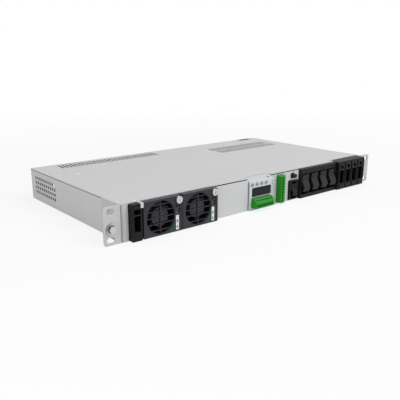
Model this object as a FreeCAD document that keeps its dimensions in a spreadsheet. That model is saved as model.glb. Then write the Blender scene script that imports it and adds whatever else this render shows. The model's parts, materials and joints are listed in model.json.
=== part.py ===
import FreeCAD, Part
import os
from types import SimpleNamespace

import Sketcher

# Rack power shelf, one rack unit high, in millimetres.
# X runs to the right seen from the front, Y to the back and Z up.
# Y = 0 is the front face of the rack ears and Z = 0 the underside of the shelf.
SIZES = {
    # case
    "case_wide": 440.0,
    "case_deep": 240.0,
    "shelf_high": 43.6,
    "sheet": 1.2,
    "cover_sheet": 1.0,
    "cover_gap": 0.2,
    "flange_wide": 12.0,
    "bend_round": 1.6,
    "post_wide": 9.5,
    "front_gap": 0.4,
    "controller_notch": 7.4,
    "output_notch": 8.4,
    "cable_notch_wide": 23.0,
    "cable_notch_deep": 6.0,
    "cable_notch_x": 190.0,
    "cable_notch_inset": 2.4,
    "rear_flange": 5.0,
    "tongue_lip_wide": 3.4,
    "tongue_lip_high": 4.8,
    # vents
    "side_vent_long": 4.2,
    "side_vent_high": 4.2,
    "side_vent_pitch": 6.6,
    "side_vent_inset": 76.9,
    "side_vent_z": 11.0,
    "rear_vent_wide": 3.2,
    "rear_vent_high": 24.0,
    "rear_vent_pitch": 8.0,
    "rear_vent_x": -190.0,
    "rear_vent_z": 9.0,
    "top_vent_wide": 3.2,
    "top_vent_pitch": 6.2,
    "exhaust_vent_long": 23.0,
    "exhaust_vent_x": -185.0,
    "exhaust_vent_inset": 30.0,
    "inlet_vent_long": 18.8,
    "inlet_vent_rise": 21.4,
    "inlet_vent_x": 69.0,
    "inlet_vent_inset": 82.0,
    # rack ears
    "ear_wide": 21.3,
    "ear_sheet": 2.0,
    "wing_sheet": 1.6,
    "wing_deep": 39.0,
    "ear_corner": 3.0,
    "slot_inset": 8.75,
    "slot_rise": 31.75,
    "slot_long": 10.0,
    "slot_wide": 6.8,
    "ground_z": 18.6,
    "ground_thread": 4.9,
    "ground_hole": 5.3,
    "ground_head": 8.6,
    "ground_head_high": 3.6,
    "washer_wide": 12.0,
    "washer_sheet": 1.2,
    "nut_high": 4.0,
    "thread_end": 1.0,
    # small screws
    "screw_thread": 2.9,
    "screw_hole": 3.1,
    "screw_head": 5.6,
    "screw_head_high": 1.5,
    "screw_reach": 4.0,
    "ear_screw_y": 26.0,
    "ear_screw_low": 11.0,
    "ear_screw_high": 33.0,
    "cover_screw_inset": 6.0,
    "cover_screw_front": 12.0,
    "cover_screw_back": 15.0,
    # bays
    "bay_gap": 0.4,
    "slide_gap": 0.3,
    "end_gap": 2.4,
    "divider_sheet": 1.0,
    "divider_gap": 22.0,
    "ac_wide": 12.7,
    "rectifier_wide": 53.6,
    "controller_wide": 43.6,
    "signal_wide": 54.6,
    "bank_wide": 80.6,
    "output_wide": 66.0,
    "panel_sheet": 1.2,
    "panel_low": 0.5,
    "panel_high": 41.6,
    "panel_return": 14.0,
    # rectifiers
    "bezel_deep": 8.0,
    "bezel_face": 2.4,
    "bezel_low": 0.6,
    "bezel_high": 43.0,
    "bezel_corner": 3.0,
    "skirt_sheet": 1.2,
    "fan_wide": 40.0,
    "fan_deep": 20.0,
    "fan_inset": 23.2,
    "fan_play": 0.1,
    "fan_mouth": 38.4,
    "fan_bore": 37.6,
    "guard_sink": 0.8,
    "guard_bite": 0.5,
    "guard_bar": 1.0,
    "guard_pitch": 7.4,
    "hub_wide": 19.0,
    "hub_high": 15.6,
    "hub_face": 1.8,
    "rotor_gap": 0.3,
    "blade_tip": 34.6,
    "blade_thick": 1.2,
    "blade_root": 7.0,
    "blade_end": 12.8,
    "blade_lean": 48.0,
    "blade_bite": 1.0,
    "strut_wide": 3.0,
    "fan_seat": 3.6,
    "pin_wide": 3.0,
    "fan_gap": 0.2,
    "pin_play": 0.1,
    "case_front": 20.6,
    "case_gap": 12.0,
    "case_sheet": 0.8,
    "step_wide": 10.2,
    "step_high": 8.4,
    "captive_inset": 6.0,
    "captive_z": 38.3,
    "captive_thread": 3.8,
    "captive_hole": 4.2,
    "captive_head": 8.4,
    "captive_head_high": 2.4,
    "captive_reach": 8.0,
    "captive_gap": 0.2,
    "cross_long": 5.0,
    "cross_wide": 1.2,
    "cross_deep": 1.2,
    "latch_front": 1.0,
    "latch_wide": 7.2,
    "latch_deep": 8.0,
    "strip_inset": 9.7,
    "strip_wide": 4.8,
    "strip_low": 2.2,
    "strip_high": 18.0,
    "grille_inset": 9.2,
    "grille_wide": 2.2,
    "grille_pitch": 3.6,
    "grille_low": 22.4,
    "board_sheet": 1.6,
    "board_gap": 1.0,
    "side_play": 0.2,
    "fin_wide": 2.0,
    "fin_pitch": 6.0,
    "sink_wide": 32.0,
    "sink_base": 4.0,
    "sink_high": 24.0,
    "sink_inset": 6.0,
    "sink_front": 44.0,
    "sink_gap": 26.0,
    "plug_wide": 30.0,
    "plug_high": 12.0,
    "plug_z": 12.0,
    "plug_root": 6.0,
    "plug_reach": 9.0,
    "plug_play": 0.4,
    "socket_gap": 1.0,
    "socket_wall": 2.2,
    # back of the bays
    "backplane_inset": 28.0,
    "backplane_wide": 112.0,
    "bar_inset": 10.0,
    "bar_end": 30.0,
    "bar_thick": 2.0,
    "bar_high": 9.0,
    "negative_bar_z": 6.0,
    "positive_bar_z": 28.0,
    "bank_back": 52.0,
    "output_back": 50.0,
    # alternating current input
    "ac_front": 8.0,
    "ac_back": 34.0,
    "ac_low": 0.2,
    "ac_mouth_wide": 8.6,
    "ac_mouth_low": 11.0,
    "ac_mouth_high": 18.4,
    "ac_mouth_deep": 24.0,
    "ac_latch_low": 30.8,
    "ac_latch_high": 5.8,
    "contact_thick": 0.8,
    "contact_wide": 4.0,
    "contact_long": 16.0,
    "contact_pitch": 6.0,
    # controller
    "face_front": 4.0,
    "face_thick": 2.4,
    "face_shoulder": 38.4,
    "face_top": 43.4,
    "face_back": 6.6,
    "face_crest": 1.0,
    "face_chamfer": 1.2,
    "sleeve_drop": 3.0,
    "controller_deep": 110.0,
    "board_y": 5.0,
    "display_left": 4.6,
    "display_wide": 34.0,
    "display_low": 19.2,
    "display_high": 10.6,
    "display_sink": 0.7,
    "display_window_gap": 0.2,
    "key_x": 4.4,
    "key_z": 34.8,
    "key_pitch": 8.5,
    "key_wide": 4.4,
    "key_hole": 4.8,
    "key_proud": 0.9,
    "key_travel": 0.6,
    "key_rest_gap": 0.2,
    # pluggable terminals
    "way_pitch": 3.81,
    "terminal_edge": 1.6,
    "terminal_wall": 1.0,
    "terminal_play": 0.3,
    "terminal_high": 12.4,
    "terminal_proud": 8.4,
    "terminal_slope": 4.6,
    "header_back": 1.4,
    "way_mouth_rise": 1.6,
    "way_mouth_wide": 2.6,
    "way_mouth_high": 3.6,
    "way_mouth_deep": 5.0,
    "controller_ways": 8,
    "controller_terminal_x": 3.8,
    "controller_terminal_z": 4.4,
    "signal_ways": 9,
    "signal_terminal_x": 9.4,
    "signal_terminal_z": 2.8,
    # signal panel
    "button_x": 41.6,
    "button_z": 35.4,
    "button_wide": 6.4,
    "button_hole": 7.0,
    "button_proud": 5.4,
    "button_travel": 2.0,
    "small_breaker_x": 42.6,
    "small_breaker_wide": 18.0,
    "small_breaker_low": 2.0,
    "small_breaker_high": 26.6,
    "small_breaker_proud": 2.6,
    "small_breaker_back": 48.0,
    "small_lever_wide": 9.0,
    "small_lever_reach": 10.4,
    # breakers
    "bank_proud": 5.6,
    "way_wide": 20.0,
    "lever_wide": 13.0,
    "lever_room": 2.0,
    "lever_reach": 14.4,
    "lever_thick": 3.2,
    "lever_round": 2.6,
    "lever_swell": 1.0,
    "pin_inset": 1.0,
    "recess_room": 1.4,
    "recess_deep": 9.0,
    "trough_deep": 2.4,
    "small_lever_room": 0.7,
    "pivot_y": 0.6,
    "pivot_z": 21.6,
    "pivot_hub": 8.0,
    # output terminals
    "output_front": 9.0,
    "output_low": 0.6,
    "output_top": 43.2,
    "output_pitch": 15.7,
    "output_mouth_wide": 9.6,
    "output_mouth_low": 9.8,
    "output_mouth_high": 19.6,
    "output_mouth_deep": 18.0,
    "output_well_z": 34.6,
    "output_well_wide": 6.6,
    "output_well_deep": 11.0,
    "output_screw_head": 6.0,
    "output_screw_high": 2.6,
    "output_screw_long": 8.0,
    "foot_high": 7.0,
    "foot_wide": 10.4,
    "foot_proud": 1.0,
    "foot_rise": 1.0,
    "rib_wide": 1.2,
    "rib_proud": 1.2,
    "rib_low": 9.6,
    "rib_top": 40.4,
}

# Counts of things that repeat.
SIDE_VENT_COLUMNS = 10
SIDE_VENT_ROWS = 4
REAR_VENT_COLUMNS = 12
EXHAUST_COLUMNS = 27
INLET_COLUMNS = 21
INLET_ROWS = 2
GUARD_BARS = (-2, -1, 0, 1, 2)
BLADES = 7
FINS = 6
RECTIFIERS = 2
KEYS = 4
BREAKERS = 4
OUTPUTS = 4
CONTACTS = 3
GRILLE_COLUMNS = 2
GRILLE_ROWS = 3

# Corners of a lever's side, as shares of its reach from the pivot, forwards and upwards.
LEVER_NECK = 0.46
LEVER_TOP = 0.86
LEVER_SHOULDER = (0.40, 0.30)
LEVER_BELLY = (0.74, 0.36)
LEVER_TOE = (0.60, 0.78)
LEVER_BACK = (0.16, 0.22)

PIECES = []

doc = FreeCAD.newDocument("power_shelf")


class Size:
    """A length kept both as a number and as a formula on the size sheet."""

    def __init__(self, number, formula):
        self.number = number
        self.formula = formula

    def join(self, sign, other, number):
        return Size(number, f"({self.formula} {sign} {other.formula})")

    def __add__(self, other):
        other = size(other)
        return self.join("+", other, self.number + other.number)

    def __sub__(self, other):
        other = size(other)
        return self.join("-", other, self.number - other.number)

    def __mul__(self, other):
        other = size(other)
        return self.join("*", other, self.number * other.number)

    def __truediv__(self, other):
        other = size(other)
        return self.join("/", other, self.number / other.number)

    def __radd__(self, other):
        return size(other) + self

    def __rsub__(self, other):
        return size(other) - self

    def __rmul__(self, other):
        return size(other) * self

    def __neg__(self):
        return size(0) - self


def size(value):
    """Leave a size as it is and turn a plain number into one."""
    if isinstance(value, Size):
        return value
    return Size(float(value), str(float(value)))


def write_sizes():
    """Put the driving sizes on their sheet and hand them back by name."""
    sheet = doc.addObject("Spreadsheet::Sheet", "Sizes")
    for row, (name, number) in enumerate(SIZES.items(), 1):
        sheet.set(f"A{row}", name)
        sheet.set(f"B{row}", str(number))
        sheet.setAlias(f"B{row}", name)
    doc.recompute()
    return SimpleNamespace(**{name: Size(float(sheet.get(name)), f"Sizes.{name}") for name in SIZES})


s = write_sizes()
places = doc.addObject("Spreadsheet::Sheet", "Places")


def named(name, value):
    """Keep a place that follows from the sizes on a sheet of its own."""
    row = len(places.getUsedCells()) // 2 + 1
    places.set(f"A{row}", name)
    places.set(f"B{row}", "=" + value.formula)
    places.setAlias(f"B{row}", name)
    return Size(value.number, f"Places.{name}")


# Levels and walls of the case.
half = named("half_case", s.case_wide / 2)
inner = named("inner_wall", half - s.sheet)
cover_low = named("cover_low", s.shelf_high - s.cover_sheet)
flange_top = named("flange_top", cover_low - s.cover_gap)
flange_low = named("flange_low", flange_top - s.sheet)
module_low = named("module_low", s.sheet + s.slide_gap)
module_high = named("module_high", cover_low - s.slide_gap)
backplane_y = named("backplane_y", s.case_deep - s.backplane_inset)
case_back = named("case_back", backplane_y - s.case_gap)
ear_end = named("ear_end", half + s.ear_wide)
slot_x = named("slot_x", ear_end - s.slot_inset)
face_back = named("face_back", s.bezel_face - s.bezel_deep)
fan_front = named("fan_front", face_back + s.fan_gap)

# Bays from the left wall inwards, then from the right wall inwards.
ac_left = named("ac_left", s.post_wide - half)
ac_right = named("ac_right", ac_left + s.ac_wide)
divider_1_left = named("divider_1_left", ac_right + s.bay_gap)
rectifier_left = named("rectifier_left", divider_1_left + s.divider_sheet + s.bay_gap)
rectifier_pitch = named("rectifier_pitch", s.rectifier_wide + s.bay_gap)
divider_2_left = named("divider_2_left", rectifier_left + RECTIFIERS * rectifier_pitch)
blank_left = named("blank_left", divider_2_left + s.divider_sheet + s.bay_gap)
output_right = named("output_right", inner - s.end_gap)
output_left = named("output_left", output_right - s.output_wide)
bank_right = named("bank_right", output_left - s.bay_gap)
bank_left = named("bank_left", bank_right - s.bank_wide)
signal_right = named("signal_right", bank_left - s.bay_gap)
signal_left = named("signal_left", signal_right - s.signal_wide)
controller_right = named("controller_right", signal_left - s.bay_gap)
controller_left = named("controller_left", controller_right - s.controller_wide)
blank_right = named("blank_right", controller_left - s.bay_gap)
doc.recompute()


def spot(first, second):
    """A point of a sketch as numbers."""
    return FreeCAD.Vector(size(first).number, size(second).number, 0)


def pin(drawing, line, end, corner):
    """Tie an end of a line to its place, measured from the sketch's origin."""
    for kind, part in zip(("DistanceX", "DistanceY"), corner):
        part = size(part)
        index = drawing.addConstraint(Sketcher.Constraint(kind, -1, 1, line, end, part.number))
        drawing.setExpression(f"Constraints[{index}]", part.formula)


def polygon(*corners):
    """A closed outline through corners."""

    def add(drawing):
        first = drawing.GeometryCount
        count = len(corners)
        for k, corner in enumerate(corners):
            after = corners[(k + 1) % count]
            drawing.addGeometry(Part.LineSegment(spot(*corner), spot(*after)), False)
        for k in range(count):
            after = first + (k + 1) % count
            drawing.addConstraint(Sketcher.Constraint("Coincident", first + k, 2, after, 1))
        for k, corner in enumerate(corners):
            pin(drawing, first + k, 1, corner)

    return add


def rectangle(left, right, low, high):
    return polygon((left, low), (right, low), (right, high), (left, high))


def circle(across, up, wide):
    """A circle given by its centre and its diameter."""
    wide = size(wide)

    def add(drawing):
        outline = Part.Circle(spot(across, up), FreeCAD.Vector(0, 0, 1), wide.number / 2)
        ring = drawing.addGeometry(outline, False)
        pin(drawing, ring, 3, (across, up))
        index = drawing.addConstraint(Sketcher.Constraint("Diameter", ring, wide.number))
        drawing.setExpression(f"Constraints[{index}]", wide.formula)

    return add


def slot(across, up, long, wide):
    """A slot with round ends that lies along the sketch's first axis."""
    across, up, long, wide = (size(value) for value in (across, up, long, wide))
    reach = (long - wide) / 2
    rise = wide / 2

    def add(drawing):
        left, right = across - reach, across + reach
        low, high = up - rise, up + rise
        first = drawing.addGeometry(Part.LineSegment(spot(left, low), spot(right, low)), False)
        drawing.addGeometry(Part.ArcOfCircle(round_end(right, up, rise), -1.5708, 1.5708), False)
        drawing.addGeometry(Part.LineSegment(spot(right, high), spot(left, high)), False)
        drawing.addGeometry(Part.ArcOfCircle(round_end(left, up, rise), 1.5708, 4.7124), False)
        for k in range(4):
            drawing.addConstraint(Sketcher.Constraint("Coincident", first + k, 2, first + (k + 1) % 4, 1))
        pin(drawing, first, 1, (left, low))
        pin(drawing, first, 2, (right, low))
        pin(drawing, first + 2, 1, (right, high))
        pin(drawing, first + 2, 2, (left, high))
        for arc, place in ((first + 1, right), (first + 3, left)):
            index = drawing.addConstraint(Sketcher.Constraint("DistanceX", -1, 1, arc, 3, place.number))
            drawing.setExpression(f"Constraints[{index}]", place.formula)

    return add


def round_end(across, up, radius):
    return Part.Circle(spot(across, up), FreeCAD.Vector(0, 0, 1), radius.number)


def new_body(label, x=0, y=0, z=0):
    """A piece made of sketches and features, and its place."""
    piece = doc.addObject("PartDesign::Body", label)
    piece.Label = label
    set_place(piece, x, y, z)
    PIECES.append(piece)
    return piece


def set_place(thing, x, y, z):
    for axis, value in zip("xyz", (x, y, z)):
        thing.setExpression(f"Placement.Base.{axis}", size(value).formula)


def draw(piece, role, level, shapes):
    """A sketch on one of the piece's own planes, at a level along the plane's axis."""
    drawing = piece.newObject("Sketcher::SketchObject", piece.Label + "_sketch")
    plane = next(feature for feature in piece.Origin.OriginFeatures if feature.Role == role)
    drawing.AttachmentSupport = [(plane, "")]
    drawing.MapMode = "FlatFace"
    towards = -1 if role == "XZ_Plane" else 1
    drawing.setExpression("AttachmentOffset.Base.z", (towards * size(level)).formula)
    for shape in shapes:
        shape(drawing)
    return drawing


def pad(piece, role, low, high, *shapes):
    """Material between two levels."""
    feature = piece.newObject("PartDesign::Pad", piece.Label + "_pad")
    feature.Profile = draw(piece, role, low, shapes)
    feature.setExpression("Length", (size(high) - low).formula)
    feature.Reversed = role == "XZ_Plane"
    return feature


def pocket(piece, role, low, high, *shapes):
    """A cut between two levels."""
    feature = piece.newObject("PartDesign::Pocket", piece.Label + "_pocket")
    feature.Profile = draw(piece, role, low, shapes)
    feature.setExpression("Length", (size(high) - low).formula)
    feature.Reversed = role != "XZ_Plane"
    return feature


def spread(piece, feature, columns, pitch, rows=1, rise=0):
    """Repeat a feature in columns and rows along its sketch's two axes."""
    pattern = piece.newObject("PartDesign::LinearPattern", piece.Label + "_pattern")
    pattern.Originals = [feature]
    pattern.Direction = (feature.Profile[0], ["H_Axis"])
    pattern.setExpression("Length", (size(pitch) * (columns - 1)).formula)
    pattern.Occurrences = columns
    if rows > 1:
        pattern.Direction2 = (feature.Profile[0], ["V_Axis"])
        pattern.setExpression("Length2", (size(rise) * (rows - 1)).formula)
        pattern.Occurrences2 = rows
    piece.Tip = pattern
    return pattern


def edges_along(shape, axis, **place):
    """Names of the straight edges that run along an axis through a place."""
    names = []
    for number, edge in enumerate(shape.Edges, 1):
        ends = [vertex.Point for vertex in edge.Vertexes]
        straight = len(ends) == 2 and edge.Curve.TypeId == "Part::GeomLine"
        if not straight or abs((ends[1] - ends[0]).normalize()[axis]) < 0.999:
            continue
        if all(abs(getattr(ends[0], key) - size(value).number) < 0.001 for key, value in place.items()):
            names.append(f"Edge{number}")
    return names


def round_off(piece, radius, *groups):
    """Round the edges in the groups, each an axis and a place."""
    doc.recompute()
    base = piece.Tip
    names = []
    for axis, place in groups:
        names += edges_along(base.Shape, axis, **place)
    feature = piece.newObject("PartDesign::Fillet", piece.Label + "_round")
    feature.Base = (base, names)
    feature.setExpression("Radius", size(radius).formula)
    return feature


def block(low, high):
    """A plain block between two corners."""
    solid = doc.addObject("Part::Box", "block")
    for side, first, last in zip(("Length", "Width", "Height"), low, high):
        solid.setExpression(side, (size(last) - first).formula)
    set_place(solid, *low)
    return solid


def rod(axis, start, wide, long):
    """A round rod that runs along Y or Z, or the negative of X, from the middle of its first end."""
    solid = doc.addObject("Part::Cylinder", "rod")
    solid.setExpression("Radius", (size(wide) / 2).formula)
    solid.setExpression("Height", size(long).formula)
    turn = {"x": ((0, 1, 0), 90), "y": ((1, 0, 0), -90), "z": ((1, 0, 0), 0)}[axis]
    solid.Placement.Rotation = FreeCAD.Rotation(FreeCAD.Vector(*turn[0]), turn[1])
    set_place(solid, *start)
    return solid


def fuse(*solids):
    whole = doc.addObject("Part::MultiFuse", "joined")
    whole.Shapes = list(solids)
    return whole


def cut(solid, *tools):
    rest = doc.addObject("Part::Cut", "cut")
    rest.Base = solid
    rest.Tool = fuse(*tools) if len(tools) > 1 else tools[0]
    return rest


def together(*solids):
    """Separate solids that share one node, such as a set of screws."""
    group = doc.addObject("Part::Compound", "group")
    group.Links = list(solids)
    return group


def keep(label, solid, x=0, y=0, z=0):
    """Make a solid one of the pieces of the shelf."""
    solid.Label = label
    if (x, y, z) != (0, 0, 0):
        set_place(solid, x, y, z)
    PIECES.append(solid)
    return solid


# Case of folded sheet.

cable_left = s.cable_notch_x - s.cable_notch_wide / 2
cable_right = s.cable_notch_x + s.cable_notch_wide / 2
cable_back = s.case_deep - s.cable_notch_inset
cable_front = cable_back - s.cable_notch_deep
screw_x = half - s.cover_screw_inset
cover_screw_places = [
    (side * screw_x, y)
    for side in (-1, 1)
    for y in (s.cover_screw_front, s.case_deep - s.cover_screw_back)
]


def make_base_tray():
    """Floor, side walls with flanges turned in at the top, front returns and rear wall."""
    piece = new_body("base_tray")
    lip = inner - s.flange_wide + s.sheet
    pad(piece, "XZ_Plane", 0, s.case_deep, polygon(
        (-half, 0), (half, 0), (half, flange_top), (lip, flange_top), (lip, flange_low),
        (inner, flange_low), (inner, s.sheet), (-inner, s.sheet), (-inner, flange_low),
        (-lip, flange_low), (-lip, flange_top), (-half, flange_top)))
    pad(piece, "XZ_Plane", 0, s.sheet,
        rectangle(-inner, ac_left - s.bay_gap, s.sheet, flange_low),
        rectangle(output_right + s.bay_gap, inner, s.sheet, flange_low))
    back = s.case_deep
    pad(piece, "YZ_Plane", -inner, inner, polygon(
        (back - s.sheet, s.sheet), (back, s.sheet), (back, flange_top),
        (back - s.rear_flange, flange_top), (back - s.rear_flange, flange_low),
        (back - s.sheet, flange_low)))
    round_off(piece, s.bend_round,
              (1, {"x": -half, "z": 0}), (1, {"x": half, "z": 0}),
              (2, {"x": -half, "y": 0}), (2, {"x": half, "y": 0}))
    pocket(piece, "YZ_Plane", -half, half,
           circle(s.ear_screw_y, s.ear_screw_low, s.screw_hole),
           circle(s.ear_screw_y, s.ear_screw_high, s.screw_hole))
    pocket(piece, "XY_Plane", flange_low, flange_top,
           *(circle(x, y, s.screw_hole) for x, y in cover_screw_places),
           rectangle(cable_left, cable_right, cable_front, cable_back),
           rectangle(output_left, inner, 0, s.output_notch))
    side_vent_y = back - s.side_vent_inset
    rivet_row = s.side_vent_z + (SIDE_VENT_ROWS - 1) * s.side_vent_pitch
    side_vent = pocket(piece, "YZ_Plane", -half, -inner, rectangle(
        side_vent_y, side_vent_y + s.side_vent_long,
        s.side_vent_z, s.side_vent_z + s.side_vent_high))
    spread(piece, side_vent, SIDE_VENT_COLUMNS, s.side_vent_pitch, SIDE_VENT_ROWS - 1, s.side_vent_pitch)
    side_vent_y = side_vent_y + s.side_vent_pitch
    upper_vent = pocket(piece, "YZ_Plane", -half, -inner, rectangle(
        side_vent_y, side_vent_y + s.side_vent_long, rivet_row, rivet_row + s.side_vent_high))
    spread(piece, upper_vent, SIDE_VENT_COLUMNS - 1, s.side_vent_pitch)
    rear_vent = pocket(piece, "XZ_Plane", back - s.sheet, back, rectangle(
        s.rear_vent_x, s.rear_vent_x + s.rear_vent_wide,
        s.rear_vent_z, s.rear_vent_z + s.rear_vent_high))
    spread(piece, rear_vent, REAR_VENT_COLUMNS, s.rear_vent_pitch)


def make_top_cover():
    """Flat cover with two vent fields, a cable slot and a tongue that laps over the input block."""
    piece = new_body("top_cover")
    front = s.front_gap
    tongue_right = ac_right + s.cover_gap + s.cover_sheet
    tongue_back = -s.ac_front - s.cover_gap
    tongue_front = tongue_back - s.cover_sheet
    notch_left, notch_right = controller_left - s.bay_gap, controller_right + s.bay_gap
    gap_left, gap_right = output_left - s.bay_gap, output_right + s.bay_gap
    pad(piece, "XY_Plane", cover_low, s.shelf_high, polygon(
        (-half, front), (ac_left, front), (ac_left, tongue_front),
        (tongue_right, tongue_front), (tongue_right, front), (notch_left, front),
        (notch_left, s.controller_notch), (notch_right, s.controller_notch), (notch_right, front),
        (gap_left, front), (gap_left, s.output_notch), (gap_right, s.output_notch),
        (gap_right, front), (half, front), (half, s.case_deep), (-half, s.case_deep)))
    pad(piece, "XZ_Plane", tongue_front, tongue_back, rectangle(
        tongue_right - s.tongue_lip_wide, tongue_right, cover_low - s.tongue_lip_high, cover_low))
    pocket(piece, "XY_Plane", cover_low, s.shelf_high,
           rectangle(cable_left, cable_right, cable_front, cable_back),
           *(circle(x, y, s.screw_head + 2 * s.pin_play) for x, y in cover_screw_places))
    exhaust_y = s.case_deep - s.exhaust_vent_inset
    inlet_y = s.case_deep - s.inlet_vent_inset
    exhaust = pocket(piece, "XY_Plane", cover_low, s.shelf_high, rectangle(
        s.exhaust_vent_x, s.exhaust_vent_x + s.top_vent_wide,
        exhaust_y, exhaust_y + s.exhaust_vent_long))
    spread(piece, exhaust, EXHAUST_COLUMNS, s.top_vent_pitch)
    inlet = pocket(piece, "XY_Plane", cover_low, s.shelf_high, rectangle(
        s.inlet_vent_x, s.inlet_vent_x + s.top_vent_wide,
        inlet_y, inlet_y + s.inlet_vent_long))
    spread(piece, inlet, INLET_COLUMNS, s.top_vent_pitch, INLET_ROWS, s.inlet_vent_rise)


def make_cover_screws():
    """Screws whose heads sit on the flanges, level with the cover."""
    screws = []
    for x, y in cover_screw_places:
        head = rod("z", (x, y, flange_top), s.screw_head, s.cover_sheet)
        shank = rod("z", (x, y, flange_top - s.screw_reach), s.screw_thread, s.screw_reach)
        screws.append(fuse(head, shank))
    keep("cover_screws", together(*screws))


def make_ear(label, side):
    """Rack ear with two open slots and a wing that lies on the side wall."""
    piece = new_body(label)
    outer = side * ear_end
    wall = side * half
    wing = side * (half + s.wing_sheet)
    pad(piece, "XY_Plane", 0, s.shelf_high, polygon(
        (outer, 0), (wall, 0), (wall, s.wing_deep), (wing, s.wing_deep),
        (wing, s.ear_sheet), (outer, s.ear_sheet)))
    round_off(piece, s.ear_corner, (1, {"x": outer, "z": 0}), (1, {"x": outer, "z": s.shelf_high}))
    middle = s.shelf_high / 2
    pocket(piece, "XZ_Plane", 0, s.ear_sheet,
           slot(side * slot_x, middle - s.slot_rise / 2, s.slot_long, s.slot_wide),
           slot(side * slot_x, middle + s.slot_rise / 2, s.slot_long, s.slot_wide))
    low, high = (wing, wall) if side < 0 else (wall, wing)
    pocket(piece, "YZ_Plane", low, high,
           circle(s.ear_screw_y, s.ear_screw_low, s.screw_hole),
           circle(s.ear_screw_y, s.ear_screw_high, s.screw_hole))
    if side < 0:
        pocket(piece, "XZ_Plane", 0, s.ear_sheet, circle(-slot_x, s.ground_z, s.ground_hole))


def make_ear_screws():
    screws = []
    reach = s.screw_reach
    for side in (-1, 1):
        for z in (s.ear_screw_low, s.ear_screw_high):
            seat = half + s.wing_sheet
            head_x = -seat - s.screw_head_high if side < 0 else seat
            shank_x = -seat if side < 0 else seat - reach
            head = rod("x", (head_x, s.ear_screw_y, z), s.screw_head, s.screw_head_high)
            shank = rod("x", (shank_x, s.ear_screw_y, z), s.screw_thread, reach)
            screws.append(fuse(head, shank))
    keep("ear_screws", together(*screws))


def make_ground_screw():
    """Hexagon screw, washer and nut for the earth lead, on the left ear."""
    x = -slot_x
    washer = cut(
        rod("y", (x, -s.washer_sheet, s.ground_z), s.washer_wide, s.washer_sheet),
        rod("y", (x, -s.washer_sheet, s.ground_z), s.ground_hole, s.washer_sheet))
    keep("ground_washer", washer)
    long = s.washer_sheet + s.ear_sheet + s.nut_high + s.thread_end
    head = hexagon(s.ground_head, s.ground_head_high, x, -s.washer_sheet - s.ground_head_high, s.ground_z)
    shank = rod("y", (x, -s.washer_sheet, s.ground_z), s.ground_thread, long)
    keep("ground_screw", fuse(head, shank))
    nut = hexagon(s.ground_head, s.nut_high, x, s.ear_sheet, s.ground_z)
    keep("ground_nut", cut(nut, rod("y", (x, s.ear_sheet, s.ground_z), s.ground_hole, s.nut_high)))


def hexagon(across_corners, high, x, y, z):
    """A hexagonal prism along Y."""
    prism = doc.addObject("Part::Prism", "hexagon")
    prism.Polygon = 6
    prism.setExpression("Circumradius", (across_corners / 2).formula)
    prism.setExpression("Height", size(high).formula)
    prism.Placement.Rotation = FreeCAD.Rotation(FreeCAD.Vector(1, 0, 0), -90)
    set_place(prism, x, y, z)
    return prism


def make_dividers():
    for number, left in enumerate((divider_1_left, divider_2_left), 1):
        piece = block((left, s.sheet, s.sheet),
                      (left + s.divider_sheet, backplane_y - s.divider_gap, cover_low))
        keep(f"bay_divider_{number}", piece)


def captive_x(number):
    return rectifier_left + (number - 1) * rectifier_pitch + s.rectifier_wide - s.captive_inset


def make_latch_blocks():
    """Threaded blocks under the cover that take the rectifiers' captive screws."""
    blocks = []
    reach = s.latch_wide / 2
    front, back = s.latch_front, s.latch_front + s.latch_deep
    for number in range(1, RECTIFIERS + 1):
        x = captive_x(number)
        body = block((x - reach, front, cover_low - s.latch_deep), (x + reach, back, cover_low))
        blocks.append(cut(body, rod("y", (x, front, s.captive_z), s.captive_hole, s.latch_deep)))
    keep("latch_blocks", together(*blocks))


# Rectifier modules, each drawn about its own left front corner.

def make_rectifier(number):
    x = rectifier_left + (number - 1) * rectifier_pitch
    name = f"rectifier_{number}"
    wide = s.rectifier_wide
    make_bezel(name, x, wide)
    make_fan(name, x)
    make_rectifier_case(name, x, wide)
    make_rectifier_inside(name, x)
    make_captive_screw(name, x)


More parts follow.
